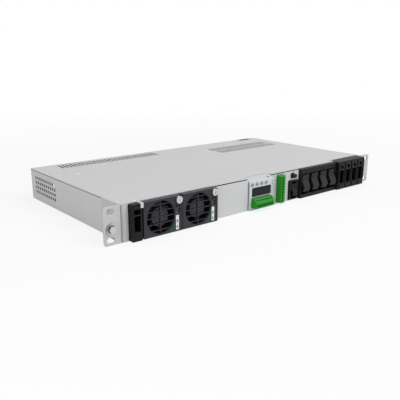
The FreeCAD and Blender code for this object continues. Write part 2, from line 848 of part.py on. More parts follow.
def make_bezel(name, x, wide):
    """Moulded front, hollow behind a guarded fan mouth, with a window, a grille and two skirts."""
    piece = new_body(name + "_bezel", x)
    pad(piece, "XZ_Plane", -s.bezel_deep, 0, rectangle(0, wide, s.bezel_low, s.bezel_high))
    round_off(piece, s.bezel_corner, (1, {"x": wide, "z": s.bezel_high}))
    fan_z = (module_low + module_high) / 2
    room = s.fan_wide / 2 + s.fan_play
    strip_left = wide - s.strip_inset
    grille_left = wide - s.grille_inset
    pocket(piece, "XZ_Plane", -s.bezel_deep, face_back, circle(s.fan_inset, fan_z, s.fan_mouth))
    pocket(piece, "XZ_Plane", face_back, 0, rectangle(
        s.fan_inset - room, s.fan_inset + room, fan_z - room, fan_z + room))
    pocket(piece, "XZ_Plane", -s.bezel_deep, 0,
           circle(wide - s.captive_inset, s.captive_z, s.captive_hole),
           rectangle(strip_left, strip_left + s.strip_wide, s.strip_low, s.strip_low + s.strip_high))
    opening = pocket(piece, "XZ_Plane", -s.bezel_deep, 0, rectangle(
        grille_left, grille_left + s.grille_wide, s.grille_low, s.grille_low + s.grille_wide))
    spread(piece, opening, GRILLE_COLUMNS, s.grille_pitch, GRILLE_ROWS, s.grille_pitch)
    bar_front = s.guard_sink - s.bezel_deep
    reach = s.fan_mouth / 2 + s.guard_bite
    for step in GUARD_BARS:
        level = fan_z + step * s.guard_pitch
        drop = abs(step) * s.guard_pitch.number
        chord = (1 - (drop / (s.fan_mouth.number / 2)) ** 2) ** 0.5
        pad(piece, "XZ_Plane", bar_front, face_back, rectangle(
            s.fan_inset - reach * chord - s.guard_bite, s.fan_inset + reach * chord + s.guard_bite,
            level - s.guard_bar / 2, level + s.guard_bar / 2))
    pad(piece, "XZ_Plane", bar_front, face_back, rectangle(
        s.fan_inset - s.guard_bar / 2, s.fan_inset + s.guard_bar / 2,
        fan_z - reach, fan_z + reach))
    step_low = module_high - s.step_high
    pad(piece, "XZ_Plane", 0, s.case_front,
        rectangle(0, s.skirt_sheet, module_low, module_high),
        rectangle(wide - s.skirt_sheet, wide, module_low, step_low))


def make_fan(name, x):
    """Square fan frame with a rear hub and a rotor that runs on the hub's pin."""
    fan_z = (module_low + module_high) / 2
    frame = new_body(name + "_fan_frame", x + s.fan_inset, 0, fan_z)
    rim = s.fan_wide / 2
    back = fan_front + s.fan_deep
    strut = s.strut_wide / 2
    pad(frame, "XZ_Plane", fan_front, back, rectangle(-rim, rim, -rim, rim), circle(0, 0, s.fan_bore))
    pad(frame, "XZ_Plane", back - s.fan_seat, back, circle(0, 0, s.hub_wide))
    reach = s.fan_bore / 2 + s.guard_bite
    pad(frame, "XZ_Plane", back - s.strut_wide, back, rectangle(-reach, reach, -strut, strut))
    pad(frame, "XZ_Plane", back - s.strut_wide, back, rectangle(-strut, strut, -reach, reach))
    hub_back = back - s.fan_seat - s.rotor_gap
    hub_front = hub_back - s.hub_high
    pin_front = hub_front + s.hub_face + s.rotor_gap
    pad(frame, "XZ_Plane", pin_front, back - s.fan_seat, circle(0, 0, s.pin_wide))
    rotor = new_body(name + "_fan_rotor", x + s.fan_inset, 0, fan_z)
    blade = make_blade(rotor, (hub_front + s.hub_face + hub_back) / 2)
    around = next(feature for feature in rotor.Origin.OriginFeatures if feature.Role == "Y_Axis")
    ring = rotor.newObject("PartDesign::PolarPattern", "blades")
    ring.Originals = [blade]
    ring.Axis = (around, [""])
    ring.Angle = 360
    ring.Occurrences = BLADES
    rotor.Tip = ring
    pad(rotor, "XZ_Plane", hub_front, hub_back, circle(0, 0, s.hub_wide))
    pocket(rotor, "XZ_Plane", hub_front + s.hub_face, hub_back, circle(0, 0, s.pin_wide + s.pin_play))


def make_blade(rotor, middle):
    """A flat blade, wider at its tip, that leans about the line from the axis to its tip."""
    root, end = s.blade_root / 2, s.blade_end / 2
    low, high = s.hub_wide / 2 - s.blade_bite, s.blade_tip / 2
    blade = pad(rotor, "YZ_Plane", 0, s.blade_thick, polygon(
        (-root, low), (root, low), (end, high), (-end, high)))
    drawing = blade.Profile[0]
    drawing.AttachmentOffset = FreeCAD.Placement(
        FreeCAD.Vector(), FreeCAD.Rotation(FreeCAD.Vector(0, 1, 0), s.blade_lean.number))
    drawing.setExpression("AttachmentOffset.Base.x", middle.formula)
    drawing.setExpression("AttachmentOffset.Rotation.Angle", s.blade_lean.formula)
    return blade


def make_rectifier_case(name, x, wide):
    """Sheet case with a step along its top right corner that clears the latch block."""
    piece = new_body(name + "_case", x)
    step_x = wide - s.step_wide
    step_z = module_high - s.step_high
    wall = s.case_sheet
    pad(piece, "XZ_Plane", s.case_front, case_back,
        polygon((0, module_low), (wide, module_low), (wide, step_z), (step_x, step_z),
                (step_x, module_high), (0, module_high)),
        polygon((wall, module_low + wall), (wide - wall, module_low + wall),
                (wide - wall, step_z - wall), (step_x - wall, step_z - wall),
                (step_x - wall, module_high - wall), (wall, module_high - wall)))
    middle = wide / 2
    pad(piece, "XZ_Plane", case_back - wall, case_back,
        polygon((wall, module_low + wall), (wide - wall, module_low + wall),
                (wide - wall, step_z - wall), (step_x - wall, step_z - wall),
                (step_x - wall, module_high - wall), (wall, module_high - wall)),
        rectangle(middle - s.plug_wide / 2, middle + s.plug_wide / 2,
                  s.plug_z, s.plug_z + s.plug_high))


def make_rectifier_inside(name, x):
    """Board on the floor of the case, finned heat sink on it and plug at the back."""
    wall = s.case_sheet
    floor = module_low + wall
    wide = s.rectifier_wide
    left = x + wall + s.side_play
    right = x + wide - wall - s.side_play
    back = case_back - wall
    keep(name + "_board", block((left, s.case_front + s.board_gap, floor),
                                (right, back, floor + s.board_sheet)))
    sink = new_body(name + "_heatsink", x + s.sink_inset, 0, floor + s.board_sheet)
    sink_back = case_back - s.sink_gap
    pad(sink, "XZ_Plane", s.sink_front, sink_back, rectangle(0, s.sink_wide, 0, s.sink_base))
    fin = pad(sink, "XZ_Plane", s.sink_front, sink_back, rectangle(
        0, s.fin_wide, s.sink_base, s.sink_high))
    spread(sink, fin, FINS, s.fin_pitch)
    middle = x + wide / 2
    reach = s.plug_wide / 2
    plug = block((middle - reach, back - s.plug_root, s.plug_z),
                 (middle + reach, case_back + s.plug_reach, s.plug_z + s.plug_high))
    keep(name + "_plug", plug)


def make_captive_screw(name, x):
    """Screw that stays in the bezel and holds the module to its latch block."""
    front = -s.bezel_deep - s.captive_gap
    centre_x = x + s.rectifier_wide - s.captive_inset
    head = rod("y", (centre_x, front - s.captive_head_high, s.captive_z), s.captive_head, s.captive_head_high)
    shank = rod("y", (centre_x, front, s.captive_z), s.captive_thread, s.bezel_deep + s.captive_reach)
    bar = s.cross_wide / 2
    arm = s.cross_long / 2
    start = front - s.captive_head_high
    end = start + s.cross_deep
    cross = [
        block((centre_x - arm, start, s.captive_z - bar), (centre_x + arm, end, s.captive_z + bar)),
        block((centre_x - bar, start, s.captive_z - arm), (centre_x + bar, end, s.captive_z + arm)),
    ]
    keep(name + "_captive_screw", cut(fuse(head, shank), *cross))


# Power path at the back.

def make_backplane():
    left = rectifier_left
    board = block((left, backplane_y, s.sheet),
                  (left + s.backplane_wide, backplane_y + s.board_sheet, flange_low - s.slide_gap))
    keep("backplane_board", board)
    for number in range(1, RECTIFIERS + 1):
        middle = rectifier_left + (number - 1) * rectifier_pitch + s.rectifier_wide / 2
        reach = s.plug_wide / 2 + s.plug_play
        low = s.plug_z - s.plug_play
        high = s.plug_z + s.plug_high + s.plug_play
        front = case_back + s.socket_gap
        shell = block((middle - reach - s.socket_wall, front, low - s.socket_wall),
                      (middle + reach + s.socket_wall, backplane_y, high + s.socket_wall))
        room = block((middle - reach, front, low),
                     (middle + reach, case_back + s.plug_reach + s.plug_play, high))
        keep(f"backplane_socket_{number}", cut(shell, room))


def make_busbar(label, low, end_x, front):
    """Flat bar that runs behind the backplane and turns forward to its block."""
    piece = new_body(label)
    start = rectifier_left + s.bar_inset
    near = backplane_y + s.board_sheet
    far = near + s.bar_thick
    pad(piece, "XY_Plane", low, low + s.bar_high, polygon(
        (start, near), (end_x - s.bar_thick, near), (end_x - s.bar_thick, front), (end_x, front),
        (end_x, far), (start, far)))


# Front panels.

def make_blank_panel():
    """Cover plate of an unused bay, with side returns."""
    piece = new_body("blank_panel")
    pad(piece, "XZ_Plane", -s.panel_sheet, 0, rectangle(blank_left, blank_right, s.panel_low, s.panel_high))
    low = s.sheet
    pad(piece, "XZ_Plane", 0, s.panel_return,
        rectangle(blank_left, blank_left + s.panel_sheet, low, s.panel_high),
        rectangle(blank_right - s.panel_sheet, blank_right, low, s.panel_high))


def make_ac_input():
    """Moulded block with a latch window over a tall mouth, and three contacts inside."""
    piece = new_body("ac_input_block")
    front = -s.ac_front
    pad(piece, "XZ_Plane", front, 0, rectangle(ac_left, ac_right, s.ac_low, cover_low))
    pad(piece, "XZ_Plane", 0, s.ac_back, rectangle(ac_left, ac_right, s.sheet, flange_low - s.cover_gap))
    middle = ac_left + s.ac_wide / 2
    reach = s.ac_mouth_wide / 2
    pocket(piece, "XZ_Plane", front, front + s.ac_mouth_deep,
           rectangle(middle - reach, middle + reach, s.ac_mouth_low, s.ac_mouth_low + s.ac_mouth_high),
           rectangle(middle - reach, middle + reach, s.ac_latch_low, s.ac_latch_low + s.ac_latch_high))
    end = front + s.ac_mouth_deep
    contacts = []
    for step in range(CONTACTS):
        z = s.ac_mouth_low + s.ac_mouth_high / 2 + (step - 1) * s.contact_pitch
        contacts.append(block(
            (middle - s.contact_wide / 2, end - s.contact_long, z - s.contact_thick / 2),
            (middle + s.contact_wide / 2, end, z + s.contact_thick / 2)))
    keep("ac_contacts", together(*contacts))


def make_controller_face():
    """White moulded face whose top leans back over the cover's cut-out."""
    piece = new_body("controller_face")
    front = -s.face_front
    back = front + s.face_thick
    lean = s.face_back - s.face_thick
    pad(piece, "YZ_Plane", controller_left, controller_right, polygon(
        (front, s.panel_low), (front, s.face_shoulder), (lean - s.face_crest, s.face_top),
        (s.face_back, s.face_top),
        (s.face_back, cover_low - s.slide_gap), (lean, cover_low - s.slide_gap),
        (back, s.face_shoulder - s.face_chamfer), (back, s.panel_low)))
    gap = s.display_window_gap
    left = controller_left + s.display_left - gap
    low = s.display_low - gap
    terminal_long = s.controller_ways * s.way_pitch + 2 * s.terminal_edge
    mouth_left = controller_left + s.controller_terminal_x - s.terminal_play
    mouth_low = s.controller_terminal_z - s.terminal_play
    pocket(piece, "XZ_Plane", front, back,
           rectangle(left, left + s.display_wide + 2 * gap, low, low + s.display_high + 2 * gap),
           rectangle(mouth_left, mouth_left + terminal_long + 2 * s.terminal_play,
                     mouth_low, mouth_low + s.terminal_high + 2 * s.terminal_play))
    pocket(piece, "XZ_Plane", front, back,
           *(circle(controller_left + s.key_x + k * s.key_pitch, s.key_z, s.key_hole) for k in range(KEYS)))


def make_controller_inside():
    """Sheet sleeve, upright board, display and keys."""
    left, right = controller_left + s.side_play, controller_right - s.side_play
    start = s.face_thick - s.face_front
    wall = s.case_sheet
    top = module_high - s.face_thick
    piece = new_body("controller_case")
    pad(piece, "XZ_Plane", s.face_back + s.bay_gap, s.controller_deep,
        rectangle(left, right, module_low, module_high),
        rectangle(left + wall, right - wall, module_low + wall, module_high - wall))
    pad(piece, "XZ_Plane", start, s.face_back + s.bay_gap,
        rectangle(left, left + wall, module_low, top - s.sleeve_drop),
        rectangle(right - wall, right, module_low, top - s.sleeve_drop))
    board_back = s.board_y + s.board_sheet
    keep("controller_board", block((left + wall, s.board_y, module_low + wall),
                                   (right - wall, board_back, top - s.board_gap)))
    display_left = controller_left + s.display_left
    keep("controller_display", block(
        (display_left, s.display_sink - s.face_front, s.display_low),
        (display_left + s.display_wide, s.board_y, s.display_low + s.display_high)))
    for k in range(KEYS):
        x = controller_left + s.key_x + k * s.key_pitch
        front = -s.face_front - s.key_proud
        long = s.board_y - s.key_travel - s.key_rest_gap - front
        keep(f"controller_key_{k + 1}", rod("y", (x, front, s.key_z), s.key_wide, long))


def make_terminal(name, left, low, front, back, ways, upright):
    """A header on a board and the plug that it takes, lying or standing up."""
    long = ways * s.way_pitch + 2 * s.terminal_edge
    wall = s.terminal_wall
    play = s.terminal_play
    high = s.terminal_high
    flip = (lambda a, b, c, d: rectangle(c, d, a, b)) if upright else rectangle
    x0, z0 = (low, left) if upright else (left, low)
    header = new_body(name + "_socket")
    pad(header, "XZ_Plane", front, back, flip(x0, x0 + long, z0, z0 + high))
    pocket(header, "XZ_Plane", front, back - s.header_back,
           flip(x0 + wall, x0 + long - wall, z0 + wall, z0 + high - wall))
    plug = new_body(name + "_terminal_plug")
    inset = wall + play
    pad(plug, "XZ_Plane", front - play, back - s.header_back - play,
        flip(x0 + inset, x0 + long - inset, z0 + inset, z0 + high - inset))
    plane = "XY_Plane" if upright else "YZ_Plane"
    tip = front - play - s.terminal_proud
    if upright:
        outline = polygon((z0, tip), (z0, front - play), (z0 + high, front - play),
                          (z0 + high, tip + s.terminal_slope), (z0 + high - s.terminal_slope, tip))
    else:
        outline = polygon((tip, z0), (front - play, z0), (front - play, z0 + high),
                          (tip + s.terminal_slope, z0 + high), (tip, z0 + high - s.terminal_slope))
    pad(plug, plane, x0, x0 + long, outline)
    way = x0 + s.terminal_edge + s.way_pitch / 2
    reach = s.way_mouth_wide / 2
    rise = z0 + s.way_mouth_rise
    mouth = pocket(plug, "XZ_Plane", tip, tip + s.way_mouth_deep, flip(
        way - reach, way + reach, rise, rise + s.way_mouth_high))
    if upright:
        spread(plug, mouth, 1, 0, ways, s.way_pitch)
    else:
        spread(plug, mouth, ways, s.way_pitch)


def make_signal_panel():
    """Plate with cut-outs for the terminal, the push button and the battery breaker."""
    piece = new_body("signal_panel")
    terminal_long = s.signal_ways * s.way_pitch + 2 * s.terminal_edge
    left = signal_left + s.signal_terminal_x - s.terminal_play
    low = s.signal_terminal_z - s.terminal_play
    breaker_left = signal_left + s.small_breaker_x - s.small_breaker_wide / 2 - s.bay_gap
    breaker_right = breaker_left + s.small_breaker_wide + 2 * s.bay_gap
    pad(piece, "XZ_Plane", -s.panel_sheet, 0,
        rectangle(signal_left, signal_right, s.panel_low, s.panel_high),
        rectangle(left, left + s.terminal_high + 2 * s.terminal_play,
                  low, low + terminal_long + 2 * s.terminal_play),
        circle(signal_left + s.button_x, s.button_z, s.button_hole),
        rectangle(breaker_left, breaker_right, s.small_breaker_low - s.bay_gap,
                  s.small_breaker_low + s.small_breaker_high + s.bay_gap))
    pad(piece, "XZ_Plane", 0, s.panel_return,
        rectangle(signal_left, signal_left + s.panel_sheet, s.sheet, s.panel_high),
        rectangle(signal_right - s.panel_sheet, signal_right, s.sheet, s.panel_high))


def make_signal_inside():
    """Upright board behind the panel, with a window for the breaker, and the push button."""
    inset = s.panel_sheet + s.side_play
    left, right = signal_left + inset, signal_right - inset
    breaker_left = signal_left + s.small_breaker_x - s.small_breaker_wide / 2 - s.bay_gap
    breaker_top = s.small_breaker_low + s.small_breaker_high + s.board_gap
    top = s.panel_high - s.board_gap
    board = new_body("signal_board")
    pad(board, "XZ_Plane", s.board_y, s.board_y + s.board_sheet, polygon(
        (left, s.sheet), (breaker_left, s.sheet), (breaker_left, breaker_top),
        (right, breaker_top), (right, top), (left, top)))
    x = signal_left + s.button_x
    front = -s.panel_sheet - s.button_proud
    long = s.board_y - s.button_travel - s.key_rest_gap - front
    keep("start_button", rod("y", (x, front, s.button_z), s.button_wide, long))


# Breakers.

def lever_body(label, x, wide, reach):
    """Lever with a hub on the pivot and a paddle bent like a flat letter S."""
    piece = new_body(label, x, s.pivot_y, s.pivot_z)
    thick = s.lever_thick
    half_wide = wide / 2
    neck, top = reach * LEVER_NECK, reach * LEVER_TOP
    shoulder, shoulder_z = (reach * share for share in LEVER_SHOULDER)
    belly, belly_z = (reach * share for share in LEVER_BELLY)
    toe, toe_z = (reach * share for share in LEVER_TOE)
    back_low, back_high = (reach * share for share in LEVER_BACK)
    hollow = thick + s.lever_swell - belly
    pad(piece, "YZ_Plane", -half_wide, half_wide, polygon(
        (-neck, top), (-shoulder, shoulder_z), (-belly, -belly_z), (-toe, -toe_z), (thick - toe, -toe_z),
        (hollow, -belly_z), (0, -back_low), (0, back_high), (thick - neck, top)))
    round_off(piece, s.lever_round,
              (0, {"y": -shoulder, "z": shoulder_z}),
              (0, {"y": -belly, "z": -belly_z}),
              (0, {"y": hollow, "z": -belly_z}))
    pad(piece, "YZ_Plane", -half_wide, half_wide, circle(0, 0, s.pivot_hub))
    pocket(piece, "YZ_Plane", -half_wide, half_wide, circle(0, 0, s.pin_wide + s.pin_play))
    return piece


def make_breaker_bank():
    """Four breakers in one moulded row, with a shallow trough and a lever in each recess."""
    piece = new_body("breaker_bank")
    front = -s.bank_proud
    pad(piece, "XZ_Plane", front, 0, rectangle(bank_left, bank_right, s.panel_low, cover_low - s.cover_gap))
    pad(piece, "XZ_Plane", 0, s.bank_back, rectangle(bank_left, bank_right, s.sheet, module_high))
    first = bank_left + s.way_wide / 2
    side = s.lever_wide / 2 + s.lever_room
    low = s.pivot_z - s.lever_reach - s.recess_room
    high = s.pivot_z + s.lever_reach * LEVER_TOP + s.recess_room
    pocket(piece, "XZ_Plane", front, front + s.trough_deep, rectangle(
        first - side, first + (BREAKERS - 1) * s.way_wide + side, low, high))
    recess = pocket(piece, "XZ_Plane", front, s.pivot_y + s.recess_deep, rectangle(
        first - side, first + side, low, high))
    spread(piece, recess, BREAKERS, s.way_wide)
    pad(piece, "YZ_Plane", bank_left + s.pin_inset, bank_right - s.pin_inset,
        circle(s.pivot_y, s.pivot_z, s.pin_wide))
    for k in range(BREAKERS):
        lever_body(f"breaker_lever_{k + 1}", first + k * s.way_wide, s.lever_wide, s.lever_reach)


def make_battery_breaker():
    piece = new_body("battery_breaker_body")
    x = signal_left + s.small_breaker_x
    side = s.small_breaker_wide / 2
    front = -s.panel_sheet - s.small_breaker_proud
    low, high = s.small_breaker_low, s.small_breaker_low + s.small_breaker_high
    pad(piece, "XZ_Plane", front, s.small_breaker_back, rectangle(x - side, x + side, low, high))
    pad(piece, "XZ_Plane", s.board_y + s.board_sheet + s.board_gap, s.small_breaker_back,
        rectangle(x - side, x + side, s.sheet, low))
    pivot_z = low + s.small_breaker_high / 2
    room = s.small_lever_reach + s.recess_room
    reach = s.small_lever_wide / 2 + s.small_lever_room
    pocket(piece, "XZ_Plane", front, s.pivot_y + s.recess_deep,
           rectangle(x - reach, x + reach, pivot_z - room, pivot_z + room))
    pad(piece, "YZ_Plane", x - side + s.pin_inset, x + side - s.pin_inset,
        circle(s.pivot_y, pivot_z, s.pin_wide))
    lever = lever_body("battery_breaker_lever", x, s.small_lever_wide, s.small_lever_reach)
    lever.setExpression("Placement.Base.z", pivot_z.formula)


def make_output_terminals():
    """Four terminal ways between ribs, each with a screw well over a tall wire mouth and a foot."""
    piece = new_body("output_terminals")
    front = -s.output_front
    pad(piece, "XZ_Plane", front, 0, rectangle(output_left, output_right, s.output_low, s.output_top))
    pad(piece, "XZ_Plane", 0, s.output_notch - s.bay_gap,
        rectangle(output_left, output_right, s.sheet, s.output_top))
    pad(piece, "XZ_Plane", s.output_notch - s.bay_gap, s.output_back,
        rectangle(output_left, output_right, s.sheet, flange_top - s.screw_reach - s.bay_gap))
    first = output_left + (s.output_wide - (OUTPUTS - 1) * s.output_pitch) / 2
    mouth = s.output_mouth_wide / 2
    wire = pocket(piece, "XZ_Plane", front, front + s.output_mouth_deep, rectangle(
        first - mouth, first + mouth, s.output_mouth_low, s.output_mouth_low + s.output_mouth_high))
    spread(piece, wire, OUTPUTS, s.output_pitch)
    well = pocket(piece, "XZ_Plane", front, front + s.output_well_deep,
                  circle(first, s.output_well_z, s.output_well_wide))
    spread(piece, well, OUTPUTS, s.output_pitch)
    bore = pocket(piece, "XZ_Plane", front, front + s.output_well_deep + s.output_screw_long,
                  circle(first, s.output_well_z, s.screw_hole))
    spread(piece, bore, OUTPUTS, s.output_pitch)
    foot_low = s.output_low + s.foot_rise
    foot = pad(piece, "XZ_Plane", front - s.foot_proud, front, rectangle(
        first - s.foot_wide / 2, first + s.foot_wide / 2, foot_low, foot_low + s.foot_high))
    spread(piece, foot, OUTPUTS, s.output_pitch)
    rib_left = first - (s.output_pitch + s.rib_wide) / 2
    rib = pad(piece, "XZ_Plane", front - s.rib_proud, front, rectangle(
        rib_left, rib_left + s.rib_wide, s.rib_low, s.rib_top))
    spread(piece, rib, OUTPUTS + 1, s.output_pitch)
    screws = []
    seat = front + s.output_well_deep
    for k in range(OUTPUTS):
        x = first + k * s.output_pitch
        head = rod("y", (x, seat - s.output_screw_high, s.output_well_z),
                   s.output_screw_head, s.output_screw_high)
        shank = rod("y", (x, seat, s.output_well_z), s.screw_thread, s.output_screw_long - s.thread_end)
        screws.append(fuse(head, shank))
    keep("output_screws", together(*screws))


def check_and_write():
    """Stop on anything that failed, then write one file for each piece."""
    doc.recompute()
    for thing in doc.Objects:
        if "Invalid" in thing.State or "Error" in thing.State:
            raise RuntimeError(f"{thing.Label} failed: {thing.State}")
    for piece in PIECES:
        if piece.Shape.isNull() or not piece.Shape.isValid():
            raise RuntimeError(f"{piece.Label} has no valid shape")
    os.makedirs("parts", exist_ok=True)
    for piece in PIECES:
        piece.Shape.exportStep(f"parts/{piece.Label}.step")


make_base_tray()
make_top_cover()
make_cover_screws()
make_ear("left_ear", -1)
make_ear("right_ear", 1)
make_ear_screws()
make_ground_screw()
make_dividers()
make_latch_blocks()
for number in range(1, RECTIFIERS + 1):
    make_rectifier(number)
make_backplane()
make_busbar("negative_busbar", s.negative_bar_z, bank_left + s.bar_end, s.bank_back)
make_busbar("positive_busbar", s.positive_bar_z, output_left + s.bar_end, s.output_back)
make_blank_panel()
make_ac_input()
make_controller_face()
make_controller_inside()
make_terminal("controller", controller_left + s.controller_terminal_x, s.controller_terminal_z,
              -s.face_front, s.board_y, int(SIZES["controller_ways"]), False)
make_signal_panel()
make_signal_inside()
make_terminal("signal", signal_left + s.signal_terminal_x, s.signal_terminal_z,
              -s.panel_sheet, s.board_y, int(SIZES["signal_ways"]), True)
make_breaker_bank()
make_battery_breaker()
make_output_terminals()
check_and_write()
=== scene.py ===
# The looks of the rack power shelf: finishes, small pieces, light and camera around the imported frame.

import json
import math

import bmesh
import bpy
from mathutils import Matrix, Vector


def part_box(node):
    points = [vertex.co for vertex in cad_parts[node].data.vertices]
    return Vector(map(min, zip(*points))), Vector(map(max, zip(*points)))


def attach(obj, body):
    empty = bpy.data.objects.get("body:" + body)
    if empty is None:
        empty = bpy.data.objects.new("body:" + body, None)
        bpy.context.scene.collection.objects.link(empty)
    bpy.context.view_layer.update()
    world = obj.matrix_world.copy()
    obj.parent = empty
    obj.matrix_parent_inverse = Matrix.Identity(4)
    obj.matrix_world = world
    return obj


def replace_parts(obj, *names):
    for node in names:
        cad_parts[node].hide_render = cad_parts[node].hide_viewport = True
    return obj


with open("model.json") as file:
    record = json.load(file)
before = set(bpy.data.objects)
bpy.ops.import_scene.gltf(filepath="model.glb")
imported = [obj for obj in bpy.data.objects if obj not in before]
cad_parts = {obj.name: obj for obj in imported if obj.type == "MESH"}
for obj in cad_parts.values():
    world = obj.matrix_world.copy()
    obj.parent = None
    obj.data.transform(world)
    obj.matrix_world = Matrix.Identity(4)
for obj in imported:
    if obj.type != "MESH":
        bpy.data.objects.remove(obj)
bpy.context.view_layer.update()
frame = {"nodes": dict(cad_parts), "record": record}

MM = 0.001

# Lengths are in millimetres and angles in degrees, apart from those of the lamps.

# Camera, in the shelf's own frame.
CAMERA_PLACE = (-495.1, -466.1, 197.0)
CAMERA_YAW = 39.57
CAMERA_PITCH = 15.52
CAMERA_LENS = 47.04

# Light. Each lamp has a name, a power in watts, and a side and a place in metres.
AMBIENT = 0.53
LAMPS = (
    ("key_lamp", 24.0, 1.5, (0.75, -1.25, 1.65)),
    ("side_lamp", 0.6, 0.4, (-0.68, -0.3, 0.3)),
)

# Floor.
FLOOR_REACH = 6000
FLOOR_DROP = 0.2
FLOOR_ALBEDO = 0.93
FLOOR_OWN_LIGHT = 0.82     # share of its own light near the shelf
FLOOR_FADE = (450, 1300)   # from the first to the second distance that share grows to 1

# Edges: how far they are merged, three widths of softening, and the angle between their two faces.
MERGED_WITHIN = 0.001
THIN_EDGE = 0.2
EDGE = 0.25
WIDE_EDGE = 0.3
ROUNDED_ABOVE = 50
SMOOTH_BELOW = 35
MELTED_BELOW = 0.5

SEED = 7

# Rectifiers. Insets run from the bezel's left edge to the fan and from its right edge to the rest.
RECTIFIERS = (1, 2)
FAN_INSET = 23.2
FAN_LEVEL = 21.9
HUB_RADIUS = 11.4
HUB_EYE = 5.6              # radius of the hub's paler middle
STRIP_INSET = 7.3
STRIP_MIDDLE = 11.2
STRIP_SIZE = (4.6, 17.8)
STRIP_MARKS = ((4.6, 7.2), (11.0, 14.6))
MARK_REACH = 1.0
STRIP_SUNK = 0.6
STRIP_EDGE = 0.3
FLANGE = (8.05, 8.8)       # front and back of the flange that holds a lens behind the bezel's face
FLANGE_REACH = 0.45
LAMP_INSET = 8.1           # left column of the grille
LAMP_LEVELS = (23.5, 27.1)
LAMP_PROFILE = ((FLANGE[1], 1.45), (FLANGE[0], 1.45), (FLANGE[0], 1.05),
                (0.5, 1.05), (0.2, 0.85), (0.02, 0.4))
DOT_INSET = 1.7
DOT_START = 3.6
DOT_PITCH = 2.4
DOTS = 14
CORNER_ARC = (-62, -29)    # round the fan mouth
CORNER_RADIUS = 20.4
CORNER_FOOT = 2.0
CORNER_GAP = 1.0           # to the status strip

# Controller.
KEYS = 4
INDICATORS = 6
INDICATOR_PLACE = (12.0, 15.5)   # left and foot of their column
INDICATOR_PITCH = 3.9
SLOPE_LAMP = (7.0, -0.4, 40.9)
SLOPE_LEAN = 55.2

# Terminal plugs.
WAY_PITCH = 3.81
WAY_EDGE = 1.6
SLOPE_MIDDLE = 2.3               # from the corner that the slope cuts
ENTRY_MIDDLE = 3.4
ENTRY_SUNK = 1.4
CLAMP = (2.5, 3.5)
SCREW_RADIUS = 1.2
SCREW_TURN = 170                 # at most

# Input block, outputs and breakers. RIDGE_RUN has depth and height of the lowest and the highest ridge.
INPUT_WIDE = 8.6
WINDOW = (30.8, 36.6)
MOUTH = (11.0, 29.4)
INPUT_RIDGE = 39.2
OUTPUTS = 4
OUTPUT_PITCH = 15.7
OUTPUT_WELL = 34.6
OUTPUT_FRONT = -9.0
BREAKERS = 4
RIDGE_RUN = ((-5.4, 28.6), (-5.82, 32.6))
RIDGES = 3

# Case. A rivet has two places and a radius. Painted shade fills the groove by an ear: its three distances
# from the middle are where it starts, is full and ends.
HOOK_LEFT = -200.0
CABLE_SLOT = ((178.5, 231.6), (201.5, 237.6))
SLOT_LIP = 2.0
SLOT_RIM = 1.6
SLOT_PLAY = 0.02
LINING_LEVEL = 41.6
VENT_RIVET = (165.2, 33.1)
COVER_RIVETS = ((-199, 5, 1.7), (196, 5, 1.7), (-186, 166, 2.6))
GROOVE_SHADE = (216.2, 219.6, 220.5)
GROOVE_SHADE_BACK = 1.4
# Painted shadow under the cover's side edge: the heights and the distances from the middle over which it
# grows in.
SEAM_SHADOW_LEVELS = (41.3, 41.7)
SEAM_SHADOW_WALL = (219.6, 219.8)
# Boxes painted dark grey as painted shade inside the case: the tray's sides, leaving out the middle from
# -197 to 60, and the cover's underside.
SHADED_TRAY_SIDES = (((-219.1, 0.9, 0.9), (-197, 239.1, 99)), ((60, 0.9, 0.9), (219.1, 239.1, 99)))
SHADED_COVER_UNDERSIDE = (((-219.6, 2, 0), (219.6, 239.6, 42.9)),)
SLOT_EDGE = ((CABLE_SLOT[0][0] - SLOT_LIP, CABLE_SLOT[0][1] - SLOT_LIP, 43),
             (CABLE_SLOT[1][0] + SLOT_LIP, CABLE_SLOT[1][1] + SLOT_LIP / 2, 44))


def corners(node):
    """Lowest and highest corner of a CAD node, in millimetres."""
    low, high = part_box(node)
    return low / MM, high / MM


def colour(text):
    """Linear colour of a written one such as C8CACC."""
    parts = [int(text[k:k + 2], 16) / 255 for k in (0, 2, 4)]
    return tuple(c / 12.92 if c <= 0.04045 else ((c + 0.055) / 1.055) ** 2.4 for c in parts) + (1.0,)


class Value:
    """A socket whose sums and products become Math nodes."""

    def __init__(self, wiring, socket):
        self.wiring = wiring
        self.socket = socket

    def __add__(self, other):
        return self.wiring.maths("ADD", self, other)

    __radd__ = __add__

    def __sub__(self, other):
        return self.wiring.maths("SUBTRACT", self, other)

    def __rsub__(self, other):
        return self.wiring.maths("SUBTRACT", other, self)

    def __mul__(self, other):
        return self.wiring.maths("MULTIPLY", self, other)

    __rmul__ = __mul__

    def __pow__(self, other):
        return self.wiring.maths("POWER", self, other)

    def __gt__(self, other):
        return self.wiring.maths("GREATER_THAN", self, other)

    def __lt__(self, other):
        return self.wiring.maths("LESS_THAN", self, other)

    def __abs__(self):
        return self.wiring.maths("ABSOLUTE", self)


class Wiring:
    """A node tree, filled by expressions."""

    def __init__(self, tree):
        self.tree = tree

    def node(self, kind, settings=None, inputs=None, output=0):
        """Add a node, set it up, feed its sockets and hand back one of its outputs."""
        made = self.tree.nodes.new(kind)
        for name, value in (settings or {}).items():
            setattr(made, name, value)
        for name, value in (inputs or {}).items():
            self.feed(made.inputs[name], value)
        return Value(self, made.outputs[output])

    def feed(self, socket, value):
        if isinstance(value, Value):
            self.tree.links.new(value.socket, socket)
        else:
            socket.default_value = value

    def maths(self, operation, *values):
        return self.node("ShaderNodeMath", {"operation": operation}, dict(enumerate(values)))

    def mix(self, share, first, second):
        """Blend two colours."""
        return self.node("ShaderNodeMix", {"data_type": "RGBA"}, {0: share, 6: first, 7: second}, 2)


